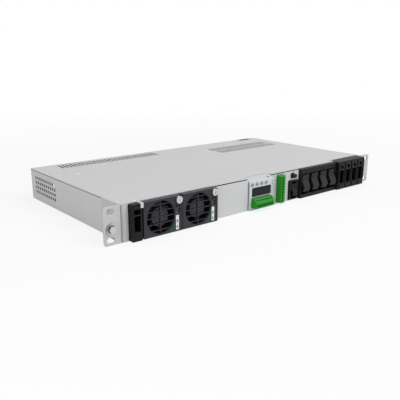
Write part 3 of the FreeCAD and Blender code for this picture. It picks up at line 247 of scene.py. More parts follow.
class Finish(Wiring):
    """The nodes of one material."""

    def __init__(self, name, **fixed):
        self.material = bpy.data.materials.new(name)
        self.material.use_nodes = True
        super().__init__(self.material.node_tree)
        self.shader = self.tree.nodes["Principled BSDF"]
        self.place = self.node("ShaderNodeTexCoord", output="Object")
        for socket, value in fixed.items():
            self.shader.inputs[socket.replace("_", " ")].default_value = value

    def axis(self, letter):
        """Distance along X, Y or Z, in millimetres."""
        return self.node("ShaderNodeSeparateXYZ", inputs={0: self.place}, output=letter) * (1 / MM)

    def grain(self, size, detail=2.0, stretch=(1, 1, 1)):
        """Noise whose lumps are about size millimetres wide."""
        place = self.node("ShaderNodeMapping", inputs={"Vector": self.place, "Scale": stretch})
        return self.node("ShaderNodeTexNoise", inputs={
            "Vector": place, "Scale": 1 / (size * MM), "Detail": detail})

    def steps(self, value, low, high):
        """0 below low, 1 above high, and a ramp between."""
        return self.node("ShaderNodeMapRange", inputs={"Value": value, "From Min": low, "From Max": high})

    def near(self, first, second, radius, axes="XY"):
        """1 within a radius of a place on two axes and 0 outside."""
        across, along = self.axis(axes[0]) - first, self.axis(axes[1]) - second
        return (across * across + along * along) ** 0.5 < radius

    def within(self, low, high):
        """1 between two corners and 0 outside."""
        share = 1.0
        for letter, least, most in zip("XYZ", low, high):
            along = self.axis(letter)
            share = share * (along > least) * (along < most)
        return share

    def bump(self, height, deep, strength):
        """A relief whose height of 1 is deep millimetres."""
        self.set("Normal", self.node("ShaderNodeBump", inputs={
            "Height": height, "Distance": deep * MM, "Strength": strength}))

    def set(self, socket, value):
        self.feed(self.shader.inputs[socket], value)


def painted_sheet(name="painted_sheet", seam_shadow=False, groove_shade=False, inside=(), rivets=(), lip=None,
                  dark="C9CACB", light="D0D0D1"):
    """Satin light grey paint with a faint orange peel; painted shade inside the case, in the groove by an
    ear and in the seam under the cover, painted highlights on rivet heads, and near black round the cable
    slot.
    """
    finish = Finish(name)
    shade = finish.mix(finish.grain(90, 3), colour(dark), colour(light))
    height = finish.grain(1.1, 1)
    # Painted shade: faces inside the given boxes take a dark grey.
    for low, high in inside:
        shade = finish.mix(finish.within(low, high), shade, colour("2E2F31"))
    # Painted shade in the groove where an ear meets the tray's front corner.
    if groove_shade:
        beside = abs(finish.axis("X"))
        start, full, end = GROOVE_SHADE
        groove_shading = finish.steps(beside, start, full) * (beside < end) * (finish.axis("Y") < GROOVE_SHADE_BACK)
        shade = finish.mix(groove_shading * 0.6, shade, colour("4A4B4E"))
    # Painted shadow of the seam under the cover's side edge, along the top of the tray's walls.
    if seam_shadow:
        rise = finish.steps(finish.axis("Z"), *SEAM_SHADOW_LEVELS)
        wall = finish.steps(abs(finish.axis("X")), *SEAM_SHADOW_WALL)
        shade = finish.mix(rise * wall * 0.75, shade, colour("3A3A3C"))
    if lip:
        shade = finish.mix(finish.within(*lip), shade, colour("141415"))
    # Rivet heads are painted near white as a painted highlight, and raised in the relief.
    for across, along, radius in rivets:
        head = finish.near(across, along, radius)
        shade = finish.mix(head, shade, colour("F4F4F4"))
        height = height + 3.0 * head
    finish.set("Base Color", shade)
    finish.set("Roughness", 0.4 + 0.12 * finish.grain(12))
    finish.bump(height, 0.03, 0.35)
    return finish.material


def zinc_sheet(name="zinc_sheet", dark="A9ABAD", light="C4C6C8"):
    """Zinc plated steel with broad soft spangles."""
    finish = Finish(name, Metallic=1.0)
    spangle = finish.node("ShaderNodeTexVoronoi", inputs={"Vector": finish.place, "Scale": 160.0},
                          output="Color")
    patch = finish.node("ShaderNodeSeparateXYZ", inputs={0: spangle})
    finish.set("Base Color", finish.mix(patch, colour(dark), colour(light)))
    finish.set("Roughness", 0.34 + 0.14 * patch)
    return finish.material


def moulded(name, dark, light, rough, grain=0.4, deep=0.03, **fixed):
    """Moulded plastic with a fine spark-eroded texture."""
    finish = Finish(name, **fixed)
    finish.set("Base Color", finish.mix(finish.grain(20, 3), colour(dark), colour(light)))
    finish.set("Roughness", rough + 0.1 * finish.grain(3))
    finish.bump(finish.grain(grain, 1), deep, 0.5)
    return finish.material


def fastener(name, front, dark, light):
    """Plated steel, with painted shade on its sides behind a bright front."""
    finish = Finish(name, Metallic=1.0)
    lines = finish.grain(0.6, 3, (1, 0.2, 1))
    shade = finish.mix(lines, colour(light), colour("E2E2E2"))
    finish.set("Base Color", finish.mix(finish.axis("Y") > front, shade, colour(dark)))
    finish.set("Roughness", 0.3 + 0.16 * lines)
    finish.bump(lines, 0.01, 0.4)
    return finish.material


def hub_plastic():
    """Dark plate of the fan's hub, paler towards its middle."""
    finish = Finish("hub_plastic", Specular_IOR_Level=0.3)
    shade = finish.mix(finish.grain(6, 3), colour("28252E"), colour("302D37"))
    for number in RECTIFIERS:
        left = corners(f"rectifier_{number}_bezel")[0].x
        middle = finish.near(left + FAN_INSET, FAN_LEVEL, HUB_EYE, "XZ")
        shade = finish.mix(middle, shade, colour("3E3A46"))
    finish.set("Base Color", shade)
    finish.set("Roughness", 0.4 + 0.1 * finish.grain(3))
    return finish.material


def circuit_board():
    """Green solder mask over a net of fine copper tracks."""
    finish = Finish("circuit_board", Coat_Roughness=0.2)
    tracks = finish.node("ShaderNodeTexBrick", {"offset": 0.37, "squash": 0.6, "squash_frequency": 3}, {
        "Vector": finish.place, "Scale": 120.0, "Mortar Size": 0.03,
        "Brick Width": 0.9, "Row Height": 0.22}, output="Fac")
    finish.set("Base Color", finish.mix(tracks, colour("0F4A2C"), colour("2C7A4A")))
    finish.set("Roughness", 0.35 + 0.15 * finish.grain(4))
    finish.set("Coat Weight", 0.3 + 0.1 * tracks)
    finish.bump(tracks, 0.04, 0.6)
    return finish.material


def drawn_metal(name, dark, light, rough, stretch):
    """Bare metal with the fine lines of drawing or turning."""
    finish = Finish(name, Metallic=1.0)
    lines = finish.grain(0.6, 3, stretch)
    finish.set("Base Color", finish.mix(lines, colour(dark), colour(light)))
    finish.set("Roughness", rough + 0.16 * lines)
    finish.bump(lines, 0.01, 0.4)
    return finish.material


def display_glass():
    """Dark display window, a little lighter where the cells lie."""
    finish = Finish("display_glass", Specular_IOR_Level=0.2)
    low, high = corners("controller_display")
    across = finish.steps(finish.axis("X"), low.x, high.x)
    rise = finish.steps(finish.axis("Z"), low.z, high.z)
    inside = (across > 0.07) * (across < 0.93) * (rise > 0.16) * (rise < 0.84)
    cells = finish.node("ShaderNodeTexBrick", {"offset": 0.0}, {
        "Vector": finish.place, "Scale": 400.0, "Mortar Size": 0.08,
        "Brick Width": 0.8, "Row Height": 0.9}, output="Fac")
    glow = inside * (0.8 - 0.3 * cells)
    finish.set("Base Color", finish.mix(glow, colour("060708"), colour("161E1F")))
    finish.set("Roughness", 0.2 + 0.05 * finish.grain(10))
    return finish.material


def status_strip():
    """Pale light guide with two dark marks on its middle line."""
    finish = Finish("status_strip", Emission_Strength=0.08)
    rise = finish.axis("Z")
    marks = sum((rise > foot) * (rise < top) for foot, top in STRIP_MARKS)
    line = 0.0
    for number in RECTIFIERS:
        right = corners(f"rectifier_{number}_bezel")[1].x
        line = line + (abs(finish.axis("X") - (right - STRIP_INSET)) < MARK_REACH)
    shade = finish.mix(finish.grain(4), colour("CFD9D5"), colour("E4EAE7"))
    shade = finish.mix(marks * line * 0.9, shade, colour("2E4640"))
    finish.set("Base Color", shade)
    finish.set("Emission Color", shade)
    finish.set("Roughness", 0.3 + 0.1 * finish.grain(2))
    return finish.material


def lamp_lens(name, dark, light):
    """Small coloured lens with a faint glow."""
    finish = Finish(name, Emission_Strength=0.05)
    shade = finish.mix(finish.grain(0.8, 1), colour(dark), colour(light))
    finish.set("Base Color", shade)
    finish.set("Emission Color", shade)
    finish.set("Roughness", 0.2 + 0.1 * finish.grain(1))
    return finish.material


FINISHES = {
    "painted_sheet": painted_sheet(),
    "zinc_sheet": zinc_sheet(),
    "bezel_plastic": moulded("bezel_plastic", "2B2930", "34323A", 0.45, Specular_IOR_Level=0.3),
    "black_plastic": moulded("black_plastic", "0C0C0D", "141415", 0.45, Specular_IOR_Level=0.2),
    "lever_plastic": moulded("lever_plastic", "18181A", "1F1F21", 0.42, grain=0.8, deep=0.02,
                             Specular_IOR_Level=0.25),
    "white_plastic": moulded("white_plastic", "C4CACB", "CED3D4", 0.42),
    "green_plastic": moulded("green_plastic", "128212", "20991C", 0.36, grain=1, deep=0.02,
                             Specular_IOR_Level=0.3),
    "display_glass": display_glass(),
    "key_plastic": moulded("key_plastic", "A0A5A6", "ABB0B1", 0.4),
    "button_plastic": moulded("button_plastic", "0C0C0E", "141416", 0.25, Specular_IOR_Level=0.3),
    "circuit_board": circuit_board(),
    "bare_aluminium": drawn_metal("bare_aluminium", "B4B6B8", "D0D2D4", 0.3, (1, 0.05, 1)),
    "copper_bar": drawn_metal("copper_bar", "B87350", "D08C66", 0.26, (0.08, 1, 1)),
    "plated_steel": drawn_metal("plated_steel", "C4C4C4", "E2E2E2", 0.2, (1, 0.2, 1)),
}
SHADED_STEEL = drawn_metal("shaded_steel", "2C302E", "3C423E", 0.45, (1, 0.2, 1))
FAN_PLASTIC = moulded("fan_plastic", "37333F", "433F4C", 0.5, Specular_IOR_Level=0.25)
# The ears take a darker copy of the paint as painted shade on their fronts, with painted shade in the
# groove.
SHADED_EAR_PAINT = painted_sheet("painted_sheet_ear_shaded", groove_shade=True, dark="BDBEBF", light="C4C4C5")
NODE_FINISHES = {
    "base_tray": painted_sheet("painted_sheet_tray", seam_shadow=True, groove_shade=True, inside=SHADED_TRAY_SIDES),
    "top_cover": painted_sheet("painted_sheet_cover", rivets=COVER_RIVETS, inside=SHADED_COVER_UNDERSIDE,
                               lip=SLOT_EDGE),
    "left_ear": SHADED_EAR_PAINT,
    "right_ear": SHADED_EAR_PAINT,
    # A darker copy of the zinc, as painted shade on the divider seen through the side vents.
    "bay_divider_1": zinc_sheet("shaded_zinc", "4A4B4D", "5A5B5D"),
    "rectifier_1_fan_rotor": FAN_PLASTIC,
    "rectifier_2_fan_rotor": FAN_PLASTIC,
    "ac_contacts": SHADED_STEEL,
    "output_screws": SHADED_STEEL,
    # The earth washer's and screw's sides carry painted shade.
    "ground_washer": fastener("washer_steel", -1.15, dark="747474", light="B8B8B8"),
    "ground_screw": fastener("screw_steel", -4.6, dark="8A8A8A", light="B8B8B8"),
    "battery_breaker_lever": FINISHES["black_plastic"],
}
SLOTS = {part["node"]: part["material_slot"] for part in frame["record"]["subparts"]}
CARRIERS = {node: body for body, nodes in frame["record"]["behaviour"]["bodies"].items() for node in nodes}


def finish_of(node):
    return NODE_FINISHES.get(node, FINISHES[SLOTS[node]])


for node in SLOTS:
    held = frame["nodes"][node].data.materials
    held.clear()
    held.append(finish_of(node))


# Meshes and objects.

def merged(node):
    """A form of a CAD node's mesh whose faces share their corners."""
    form = bmesh.new()
    form.from_mesh(frame["nodes"][node].data)
    bmesh.ops.remove_doubles(form, verts=form.verts, dist=MERGED_WITHIN * MM)
    return form


def mesh_of(form, name="shape"):
    """Turn a form into a mesh and free it."""
    mesh = bpy.data.meshes.new(name)
    form.to_mesh(mesh)
    form.free()
    return mesh


def new_object(name, data):
    """Make an object and put it into the scene."""
    made = bpy.data.objects.new(name, data)
    bpy.context.scene.collection.objects.link(made)
    return made


def worked_out(item):
    """The mesh that an object's modifiers make. They leave the object."""
    mesh = bpy.data.meshes.new_from_object(item.evaluated_get(bpy.context.evaluated_depsgraph_get()))
    item.modifiers.clear()
    return mesh


# Shapes of small things. They are drawn in millimetres, facing the front, about their own middle.

def skin(rings, closed=False):
    """A mesh between rings of as many points each, capped at both ends or closed on itself."""
    form = bmesh.new()
    rows = [[form.verts.new(Vector(point) * MM) for point in ring] for ring in rings]
    pairs = list(zip(rows, rows[1:])) + ([(rows[-1], rows[0])] if closed else [])
    for one, two in pairs:
        for k in range(len(one)):
            after = (k + 1) % len(one)
            form.faces.new((one[k], one[after], two[after], two[k]))
    if not closed:
        form.faces.new(rows[0])
        form.faces.new(rows[-1])
    bmesh.ops.recalc_face_normals(form, faces=form.faces)
    mesh = mesh_of(form)
    mesh.shade_smooth()
    mesh.set_sharp_from_angle(angle=math.radians(SMOOTH_BELOW))
    return mesh


def level(outline, depth):
    """An outline in X and Z, laid at a depth along Y."""
    return [(x, depth, z) for x, z in outline]


def arc(radius, first, last, steps):
    """Points on a circle from a first to a last angle, in degrees."""
    turns = [math.radians(first + (last - first) * k / steps) for k in range(steps + 1)]
    return [(radius * math.cos(turn), radius * math.sin(turn)) for turn in turns]


def circle(radius, points):
    return arc(radius, 0, 360, points)[:-1]


def rectangle(wide, high, corner):
    """Outline of a rectangle with round corners, from its right upper one on."""
    points = []
    for quarter, (side, rise) in enumerate(((1, 1), (-1, 1), (-1, -1), (1, -1))):
        points += [(side * (wide / 2 - corner) + x, rise * (high / 2 - corner) + z)
                   for x, z in arc(corner, 90 * quarter, 90 * quarter + 90, 3)]
    return points


def plate(wide, high, corner, proud, edge=0.15):
    """A plate with a small chamfer round its front."""
    return skin([level(rectangle(wide, high, corner), 0),
                 level(rectangle(wide, high, corner), edge - proud),
                 level(rectangle(wide - 2 * edge, high - 2 * edge, max(corner - edge, 0.05)), -proud)])


def border(wide, high, corner, rim, proud, edge=0.12):
    """A raised border round a rectangular hole."""
    inner = rectangle(wide, high, corner)
    outer = rectangle(wide + 2 * rim, high + 2 * rim, corner + rim)
    crest = rectangle(wide + 2 * rim - 2 * edge, high + 2 * rim - 2 * edge, corner + rim - edge)
    return skin([level(outer, 0), level(outer, edge - proud), level(crest, -proud),
                 level(inner, -proud), level(inner, 0)], closed=True)


def turned(profile, points):
    """A round piece from its depths and radii, back to front."""
    return skin([level(circle(radius, points), depth) for depth, radius in profile])


def disc(radius, proud, edge, points):
    return turned([(0, radius), (edge - proud, radius), (-proud, radius - edge)], points)


def dome(radius, proud, points=28):
    """A low round head."""
    curve = ((1.0, 0.0), (1.0, 0.25), (0.93, 0.6), (0.72, 0.88), (0.4, 0.98), (0.05, 1.0))
    return turned([(-proud * rise, radius * share) for share, rise in curve], points)


def well_plate(outer, radius, proud, points):
    """A plate with a given outline round a hole."""
    hole = circle(radius, points)
    return skin([level(outer, 0), level(outer, -proud), level(hole, -proud), level(hole, 0)], closed=True)


def washer(inner, outer, proud, points=28):
    return well_plate(circle(outer, points), inner, proud, points)


def collar(wide, high, radius, proud, points=40):
    """A plate round a well: a round hole in a rectangle."""
    outer = []
    for x, z in circle(1, points):
        reach = min(wide / 2 / max(abs(x), 1e-6), high / 2 / max(abs(z), 1e-6))
        outer.append((x * reach, z * reach))
    return well_plate(outer, radius, proud, points)


def slotted_head(radius, proud, slot_wide, slot_deep):
    """A round screw head with a slot, as two half heads on a disc."""
    form = bmesh.new()
    form.from_mesh(disc(radius, proud - slot_deep, edge=0.1, points=28))
    for side in (1, -1):
        half = [(side * max(slot_wide / 2, x), z) for x, z in arc(radius - 0.05, -90, 90, 8)]
        form.from_mesh(skin([level(half, slot_deep - proud), level(half, -proud)]))
    return mesh_of(form)


def status_window():
    """Light guide that fills the bezel's window, with a flange behind."""
    wide, high = STRIP_SIZE
    front, back = FLANGE
    flange = rectangle(wide + 2 * FLANGE_REACH, high + 2 * FLANGE_REACH, STRIP_EDGE)
    body = rectangle(wide, high, STRIP_EDGE)
    face = rectangle(wide - STRIP_EDGE, high - STRIP_EDGE, STRIP_EDGE)
    return skin([level(flange, back), level(flange, front), level(body, front),
                 level(body, STRIP_SUNK + STRIP_EDGE / 2), level(face, STRIP_SUNK)])


def corner_plate(wide):
    """Flat plate between the fan mouth and the bezel's lower right corner, about the fan's middle."""
    bow = arc(CORNER_RADIUS, *CORNER_ARC, 8)
    right = wide - STRIP_INSET - STRIP_SIZE[0] / 2 - CORNER_GAP - FAN_INSET
    low = CORNER_FOOT - FAN_LEVEL
    outline = bow + [(right, bow[-1][1]), (right, low), (bow[0][0], low)]
    return skin([level(outline, 0), level(outline, -0.3)])


def repeat_tree():
    """Node tree that lays a template out in columns and rows and turns each copy at random."""
    tree = bpy.data.node_groups.new("columns_and_rows", "GeometryNodeTree")
    for name, kind in (("Template", "Geometry"), ("Start", "Vector"), ("Columns", "Int"),
                       ("Pitch", "Vector"), ("Rows", "Int"), ("Rise", "Vector"), ("Tilt", "Vector"),
                       ("Turn", "Float"), ("Seed", "Int"), ("Material", "Material")):
        tree.interface.new_socket(name, in_out="INPUT", socket_type="NodeSocket" + kind)
    tree.interface.new_socket("Copies", in_out="OUTPUT", socket_type="NodeSocketGeometry")
    wiring = Wiring(tree)
    given = tree.nodes.new("NodeGroupInput")
    put = {socket.name: Value(wiring, socket) for socket in given.outputs if socket.name}
    row = wiring.node("GeometryNodeMeshLine", inputs={
        "Count": put["Columns"], "Start Location": put["Start"], "Offset": put["Pitch"]})
    column = wiring.node("GeometryNodeMeshLine", inputs={"Count": put["Rows"], "Offset": put["Rise"]})
    places = wiring.node("GeometryNodeInstanceOnPoints", inputs={"Points": column, "Instance": row})
    places = wiring.node("GeometryNodeRealizeInstances", inputs={"Geometry": places})
    copies = wiring.node("GeometryNodeInstanceOnPoints", inputs={
        "Points": places, "Instance": put["Template"], "Rotation": put["Tilt"]})
    chance = wiring.node("FunctionNodeRandomValue", {"data_type": "FLOAT"}, {
        2: 0.0, 3: put["Turn"], "Seed": put["Seed"]}, output=1)
    spin = wiring.node("ShaderNodeCombineXYZ", inputs={"Y": chance})
    copies = wiring.node("GeometryNodeRotateInstances", inputs={
        "Instances": copies, "Rotation": spin, "Local Space": True})
    copies = wiring.node("GeometryNodeRealizeInstances", inputs={"Geometry": copies})
    copies = wiring.node("GeometryNodeSetMaterial", inputs={
        "Geometry": copies, "Material": put["Material"]})
    result = tree.nodes.new("NodeGroupOutput")
    wiring.feed(result.inputs[0], copies)
    return tree


REPEAT = repeat_tree()
STRIP = status_strip()
AMBER = lamp_lens("amber_lens", "6E4A1E", "96682C")
OLIVE = lamp_lens("olive_lens", "3C4420", "56602C")
DARK_GREEN = moulded("dark_green_plastic", "0E3026", "153C30", 0.4)
HUB = hub_plastic()
MARK = moulded("dark_print", "2A282C", "343236", 0.45)
# Near-white paint on the wall rivet as a painted highlight.
RIVET_HIGHLIGHT_PAINT = moulded("rivet_highlight_paint", "F0F0F0", "F8F8F8", 0.35)
# Darker steel for the spring washer, as painted shade in the crescent round the earth washer.
SHADED_WASHER_STEEL = drawn_metal("shaded_washer_steel", "848484", "9C9C9C", 0.35, (1, 0.2, 1))


def keep(name, mesh, body):
    """Put a mesh into the scene as a piece on a body."""
    piece = new_object(name, mesh)
    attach(piece, body)
    return piece


def repeat(name, template, start, body, slot, columns=1, pitch=(0, 0, 0), rows=1, rise=(0, 0, 0),
           tilt=(0, 0, 0), turn=0.0, material=None):
    """Lay a template out from its start and keep the result as a plain piece on a body."""
    source = new_object(name + "_template", template)
    laying = source.modifiers.new("laid_out", "NODES")
    laying.node_group = REPEAT
    given = {
        "Start": Vector(start) * MM, "Columns": columns, "Pitch": Vector(pitch) * MM,
        "Rows": rows, "Rise": Vector(rise) * MM, "Tilt": Vector([math.radians(angle) for angle in tilt]),
        "Turn": math.radians(turn), "Seed": SEED, "Material": material or FINISHES[slot]}
    for socket in REPEAT.interface.items_tree:
        if socket.name in given:
            laying[socket.identifier] = given[socket.name]
    mesh = worked_out(source)
    mesh.name = name
    bpy.data.objects.remove(source)
    keep(name, mesh, body)


def replace(node, mesh):
    """Keep a mesh as the piece that is seen in the place of a CAD node."""
    mesh.materials.clear()
    mesh.materials.append(finish_of(node))
    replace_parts(keep(mesh.name, mesh, CARRIERS[node]), node)


def soften(node, width):
    """Put a copy with rounded edges in the place of a CAD node."""
    form = merged(node)
    bmesh.ops.dissolve_limit(form, angle_limit=math.radians(MELTED_BELOW), verts=form.verts,
                             edges=form.edges)
    sharp = [edge for edge in form.edges if len(edge.link_faces) == 2 and edge.is_convex
             and edge.calc_face_angle() > math.radians(ROUNDED_ABOVE)]
    rounds = set(bmesh.ops.bevel(form, geom=sharp, offset=width * MM, segments=2, profile=0.5,
                                 affect="EDGES")["faces"])
    for face in form.faces:
        face.smooth = True
    for edge in form.edges:
        beside = sum(face in rounds for face in edge.link_faces)
        edge.smooth = beside != 1 and edge.calc_face_angle(math.pi) < math.radians(SMOOTH_BELOW)
    replace(node, mesh_of(form, node + "_softened"))


def trim_cover():
    """Put a cover whose tongue is a narrow hook at the input block's right end in the cover's place."""
    low, high = corners("top_cover")
    left, front, foot, top = low.x - 1, low.y - 1, low.z - 1, high.z + 1
    outline = [(left, front), (HOOK_LEFT, front), (HOOK_LEFT, 0), (left, 0)]
    block = skin([[(x, y, height) for x, y in outline] for height in (foot, top)])
    sheet = new_object("top_cover_whole", mesh_of(merged("top_cover"), "top_cover_whole"))
    cutter = new_object("tongue_cutter", block)
    cut = sheet.modifiers.new("cut", "BOOLEAN")
    cut.operation = "DIFFERENCE"
    cut.solver = "EXACT"
    cut.object = cutter
    trimmed = worked_out(sheet)
    trimmed.name = "top_cover_trimmed"
    trimmed.shade_flat()
    for item in (sheet, cutter):
        bpy.data.objects.remove(item)
    replace("top_cover", trimmed)


def dress_rectifier(number):
    """Status strip, lamps, corner plate, edge dots and hub plate of one rectifier."""
    body = f"rectifier_{number}"
    low, high = corners(body + "_bezel")
    fan_middle = low.x + FAN_INSET
    soften(body + "_bezel", EDGE)
    repeat(body + "_status_strip", status_window(), (high.x - STRIP_INSET, low.y, STRIP_MIDDLE), body,
           "display_glass", material=STRIP)
    for name, rise, lens in (("amber", LAMP_LEVELS[0], AMBER), ("olive", LAMP_LEVELS[1], OLIVE)):
        repeat(f"{body}_{name}_lamp", turned(LAMP_PROFILE, 20), (high.x - LAMP_INSET, low.y, rise), body,
               "display_glass", material=lens)
    repeat(body + "_corner_plate", corner_plate(high.x - low.x), (fan_middle, low.y, FAN_LEVEL), body,
           "bezel_plastic", material=DARK_GREEN)
    repeat(body + "_edge_dots", plate(wide=1.3, high=1.4, corner=0.3, proud=0.15, edge=0.06),
           (high.x - DOT_INSET, low.y, DOT_START), body, "black_plastic", rows=DOTS, rise=(0, 0, DOT_PITCH))
    front = corners(body + "_fan_rotor")[0].y
    repeat(body + "_hub_plate", disc(HUB_RADIUS, proud=0.3, edge=0.15, points=48),
           (fan_middle, front, FAN_LEVEL), f"fan_{number}", "bezel_plastic", material=HUB)


def dress_controller():
    """Key marks, indicators and display frame of the controller."""
    soften("controller_face", WIDE_EDGE)
    front = corners("controller_face")[0].y
    low, high = corners("controller_display")
    wide, tall = high.x - low.x + 0.1, high.z - low.z + 0.1
    repeat("display_frame", border(wide, tall, corner=0.5, rim=0.7, proud=0.25),
           ((low.x + high.x) / 2, front, (low.z + high.z) / 2), "controller", "black_plastic")
    for number in range(1, KEYS + 1):
        low, high = corners(f"controller_key_{number}")
        repeat(f"key_mark_{number}", disc(radius=0.95, proud=0.12, edge=0.05, points=16),
               ((low.x + high.x) / 2, low.y, (low.z + high.z) / 2), f"key_{number}", "key_plastic",
               material=MARK)
    across, foot = INDICATOR_PLACE
    repeat("controller_lamps", dome(radius=0.8, proud=0.3, points=16), (across, front, foot), "controller",
           "key_plastic", rows=INDICATORS, rise=(0, 0, INDICATOR_PITCH), material=MARK)
    repeat("controller_slope_lamp", dome(radius=1.2, proud=0.4, points=20), SLOPE_LAMP, "controller",
           "black_plastic", tilt=(-SLOPE_LEAN, 0, 0))


def dress_plug(node, body, upright, ways):
    """Slotted screws on a terminal plug's slope and a black clamp in each wire entry, as painted shade."""
    soften(node, THIN_EDGE)
    low, high = corners(node)
    first = WAY_EDGE + WAY_PITCH / 2
    short, long = CLAMP
    if upright:
        start = (high.x - SLOPE_MIDDLE, low.y + SLOPE_MIDDLE, low.z + first)
        tilt, step = (0, 0, 45), (0, 0, WAY_PITCH)
        entry = (low.x + ENTRY_MIDDLE, low.y + ENTRY_SUNK, low.z + first)
        clamp = plate(long, short, corner=0.3, proud=0.4)
    else:
        start = (low.x + first, low.y + SLOPE_MIDDLE, high.z - SLOPE_MIDDLE)
        tilt, step = (-45, 0, 0), (WAY_PITCH, 0, 0)
        entry = (low.x + first, low.y + ENTRY_SUNK, low.z + ENTRY_MIDDLE)
        clamp = plate(short, long, corner=0.3, proud=0.4)
    screw = slotted_head(SCREW_RADIUS, proud=0.3, slot_wide=0.35, slot_deep=0.25)
    repeat(body + "_screws", screw, start, body, "plated_steel", columns=ways, pitch=step, tilt=tilt,
           turn=SCREW_TURN, material=SHADED_STEEL)
    repeat(body + "_screw_wells", washer(SCREW_RADIUS, outer=1.55, proud=0.35, points=20), start, body,
           "green_plastic", columns=ways, pitch=step, tilt=tilt)
    # The clamps are black as painted shade deep in the wire entries.
    repeat(body + "_shaded_clamps", clamp, entry, body, "black_plastic", columns=ways, pitch=step)


def dress_ac_input():
    """Frames round the latch window and the mouth, and a finger ridge."""
    soften("ac_input_block", WIDE_EDGE)
    low, high = corners("ac_input_block")
    middle = (low.x + high.x) / 2
    for name, (foot, top) in (("window", WINDOW), ("mouth", MOUTH)):
        repeat(f"ac_{name}_frame", border(INPUT_WIDE, top - foot, corner=0.3, rim=0.7, proud=0.35),
               (middle, low.y, (foot + top) / 2), "shelf", "lever_plastic")
    repeat("ac_ridge", plate(wide=8.4, high=1.1, corner=0.4, proud=0.6, edge=0.25),
           (middle, low.y, INPUT_RIDGE), "shelf", "lever_plastic")


def dress_outputs():
    """Collars round the screw wells of the output terminals."""
    soften("output_terminals", EDGE)
    low, high = corners("output_terminals")
    first = (low.x + high.x - (OUTPUTS - 1) * OUTPUT_PITCH) / 2
    repeat("output_well_collars", collar(wide=10.6, high=9.0, radius=3.35, proud=0.35),
           (first, OUTPUT_FRONT, OUTPUT_WELL), "shelf", "lever_plastic", columns=OUTPUTS,
           pitch=(OUTPUT_PITCH, 0, 0))


def dress_levers():
    """Grip ridges across the upper part of each breaker lever."""
    foot, top = RIDGE_RUN
    run = Vector((0, top[0] - foot[0], top[1] - foot[1]))
    lean = math.degrees(math.atan2(-run.y, run.z))
    for number in range(1, BREAKERS + 1):
        node = f"breaker_lever_{number}"
        low, high = corners(node)
        soften(node, WIDE_EDGE)
        ridge = plate(high.x - low.x - 1.6, high=0.8, corner=0.3, proud=0.35, edge=0.12)
        repeat(f"lever_{number}_ridges", ridge, ((low.x + high.x) / 2, *foot), f"lever_{number}",
               "lever_plastic", rows=RIDGES, rise=run / (RIDGES - 1), tilt=(lean, 0, 0))
    soften("battery_breaker_lever", EDGE)


def dress_button():
    """Collar on the panel and a crowned cap on the push button."""
    low, high = corners("start_button")
    middle = (low + high) / 2
    panel = corners("signal_panel")[0].y
    repeat("button_collar", washer(inner=3.55, outer=4.1, proud=0.6), (middle.x, panel, middle.z), "shelf",
           "black_plastic")
    repeat("button_cap", dome((high.x - low.x) / 2 - 0.1, proud=0.7), (middle.x, low.y, middle.z), "button",
           "button_plastic")


def dress_shell():
    """Spring washer of the earth screw, lining of the cable slot and a rivet in the left wall."""
    low, high = corners("ground_washer")
    repeat("earth_spring_washer", washer(inner=4.35, outer=4.9, proud=0.6),
           ((low.x + high.x) / 2, low.y, (low.z + high.z) / 2), "shelf", "plated_steel", material=SHADED_WASHER_STEEL)
    (left, front), (right, back) = CABLE_SLOT
    wide, high = right - left - 2 * SLOT_RIM, back - front - 2 * SLOT_RIM
    lining = border(wide, high, corner=0.5, rim=SLOT_RIM - SLOT_PLAY, proud=2.0, edge=0.2)
    repeat("cable_slot_lining", lining, ((left + right) / 2, (front + back) / 2, LINING_LEVEL), "shelf",
           "black_plastic", tilt=(-90, 0, 0))
    wall = corners("base_tray")[0].x
    repeat("wall_rivet", dome(radius=2.0, proud=0.8), (wall, *VENT_RIVET), "shelf", "painted_sheet",
           tilt=(0, 0, -90), material=RIVET_HIGHLIGHT_PAINT)
    for node, width in (("left_ear", EDGE), ("right_ear", EDGE), ("blank_panel", WIDE_EDGE),
                        ("breaker_bank", WIDE_EDGE), ("battery_breaker_body", EDGE)):
        soften(node, width)


def seen_directly(wiring, rays):
    """1 for the rays that look at the background itself or at its reflection."""
    camera, glossy, through = (Value(wiring, rays.outputs[name]) for name in (
        "Is Camera Ray", "Is Glossy Ray", "Is Transmission Ray"))
    return wiring.maths("MAXIMUM", wiring.maths("MAXIMUM", camera, glossy), through)


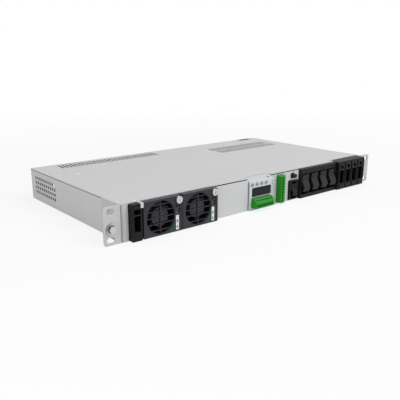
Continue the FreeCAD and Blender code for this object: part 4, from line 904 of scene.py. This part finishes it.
def floor_finish():
    """White floor that keeps a soft shadow."""
    finish = Finish("floor", Roughness=1.0, Specular_IOR_Level=0.0)
    finish.shader.inputs["Base Color"].default_value = (FLOOR_ALBEDO, FLOOR_ALBEDO, FLOOR_ALBEDO, 1)
    rays = finish.tree.nodes.new("ShaderNodeLightPath")
    glow = finish.node("ShaderNodeEmission", inputs={"Color": (1, 1, 1, 1), "Strength": 1.0})
    across, along = finish.axis("X"), finish.axis("Y")
    far = finish.steps((across * across + along * along) ** 0.5, *FLOOR_FADE)
    share = seen_directly(finish, rays) * (FLOOR_OWN_LIGHT + (1 - FLOOR_OWN_LIGHT) * far)
    blend = finish.tree.nodes.new("ShaderNodeMixShader")
    finish.feed(blend.inputs[0], share)
    finish.tree.links.new(finish.shader.outputs[0], blend.inputs[1])
    finish.tree.links.new(glow.socket, blend.inputs[2])
    finish.tree.links.new(blend.outputs[0], finish.tree.nodes["Material Output"].inputs["Surface"])
    return finish.material


def studio():
    """Background, floor, lamps and camera."""
    scene = bpy.context.scene
    scene.view_settings.view_transform = "Standard"

    world = bpy.data.worlds.new("studio")
    world.use_nodes = True
    scene.world = world
    air = Wiring(world.node_tree)
    rays = world.node_tree.nodes.new("ShaderNodeLightPath")
    back = world.node_tree.nodes["Background"]
    back.inputs["Color"].default_value = (1, 1, 1, 1)
    air.feed(back.inputs["Strength"], AMBIENT + seen_directly(air, rays) * (1 - AMBIENT))

    floor_mesh = bpy.data.meshes.new("floor")
    reach = FLOOR_REACH * MM
    rim = [(-reach, -reach, 0), (reach, -reach, 0), (reach, reach, 0), (-reach, reach, 0)]
    floor_mesh.from_pydata(rim, [], [(0, 1, 2, 3)])
    floor_mesh.materials.append(floor_finish())
    floor = new_object("floor", floor_mesh)
    floor.location.z = -FLOOR_DROP * MM

    for name, power, side, place in LAMPS:
        lamp_data = bpy.data.lights.new(name, "AREA")
        lamp_data.energy = power
        lamp_data.size = side
        lamp = new_object(name, lamp_data)
        lamp.location = place
        lamp.rotation_euler = (-Vector(place)).to_track_quat("-Z", "Y").to_euler()

    camera_data = bpy.data.cameras.new("camera")
    camera_data.lens = CAMERA_LENS
    camera_data.clip_start = 0.01
    camera = new_object("camera", camera_data)
    camera.location = Vector(CAMERA_PLACE) * MM
    yaw, pitch = math.radians(CAMERA_YAW), math.radians(CAMERA_PITCH)
    ahead = Vector((math.sin(yaw) * math.cos(pitch), math.cos(yaw) * math.cos(pitch), -math.sin(pitch)))
    camera.rotation_euler = ahead.to_track_quat("-Z", "Y").to_euler()
    scene.camera = camera


trim_cover()
for rectifier in RECTIFIERS:
    dress_rectifier(rectifier)
dress_controller()
dress_plug("controller_terminal_plug", "controller_plug", upright=False, ways=8)
dress_plug("signal_terminal_plug", "signal_plug", upright=True, ways=9)
dress_ac_input()
dress_outputs()
dress_levers()
dress_button()
dress_shell()
studio()
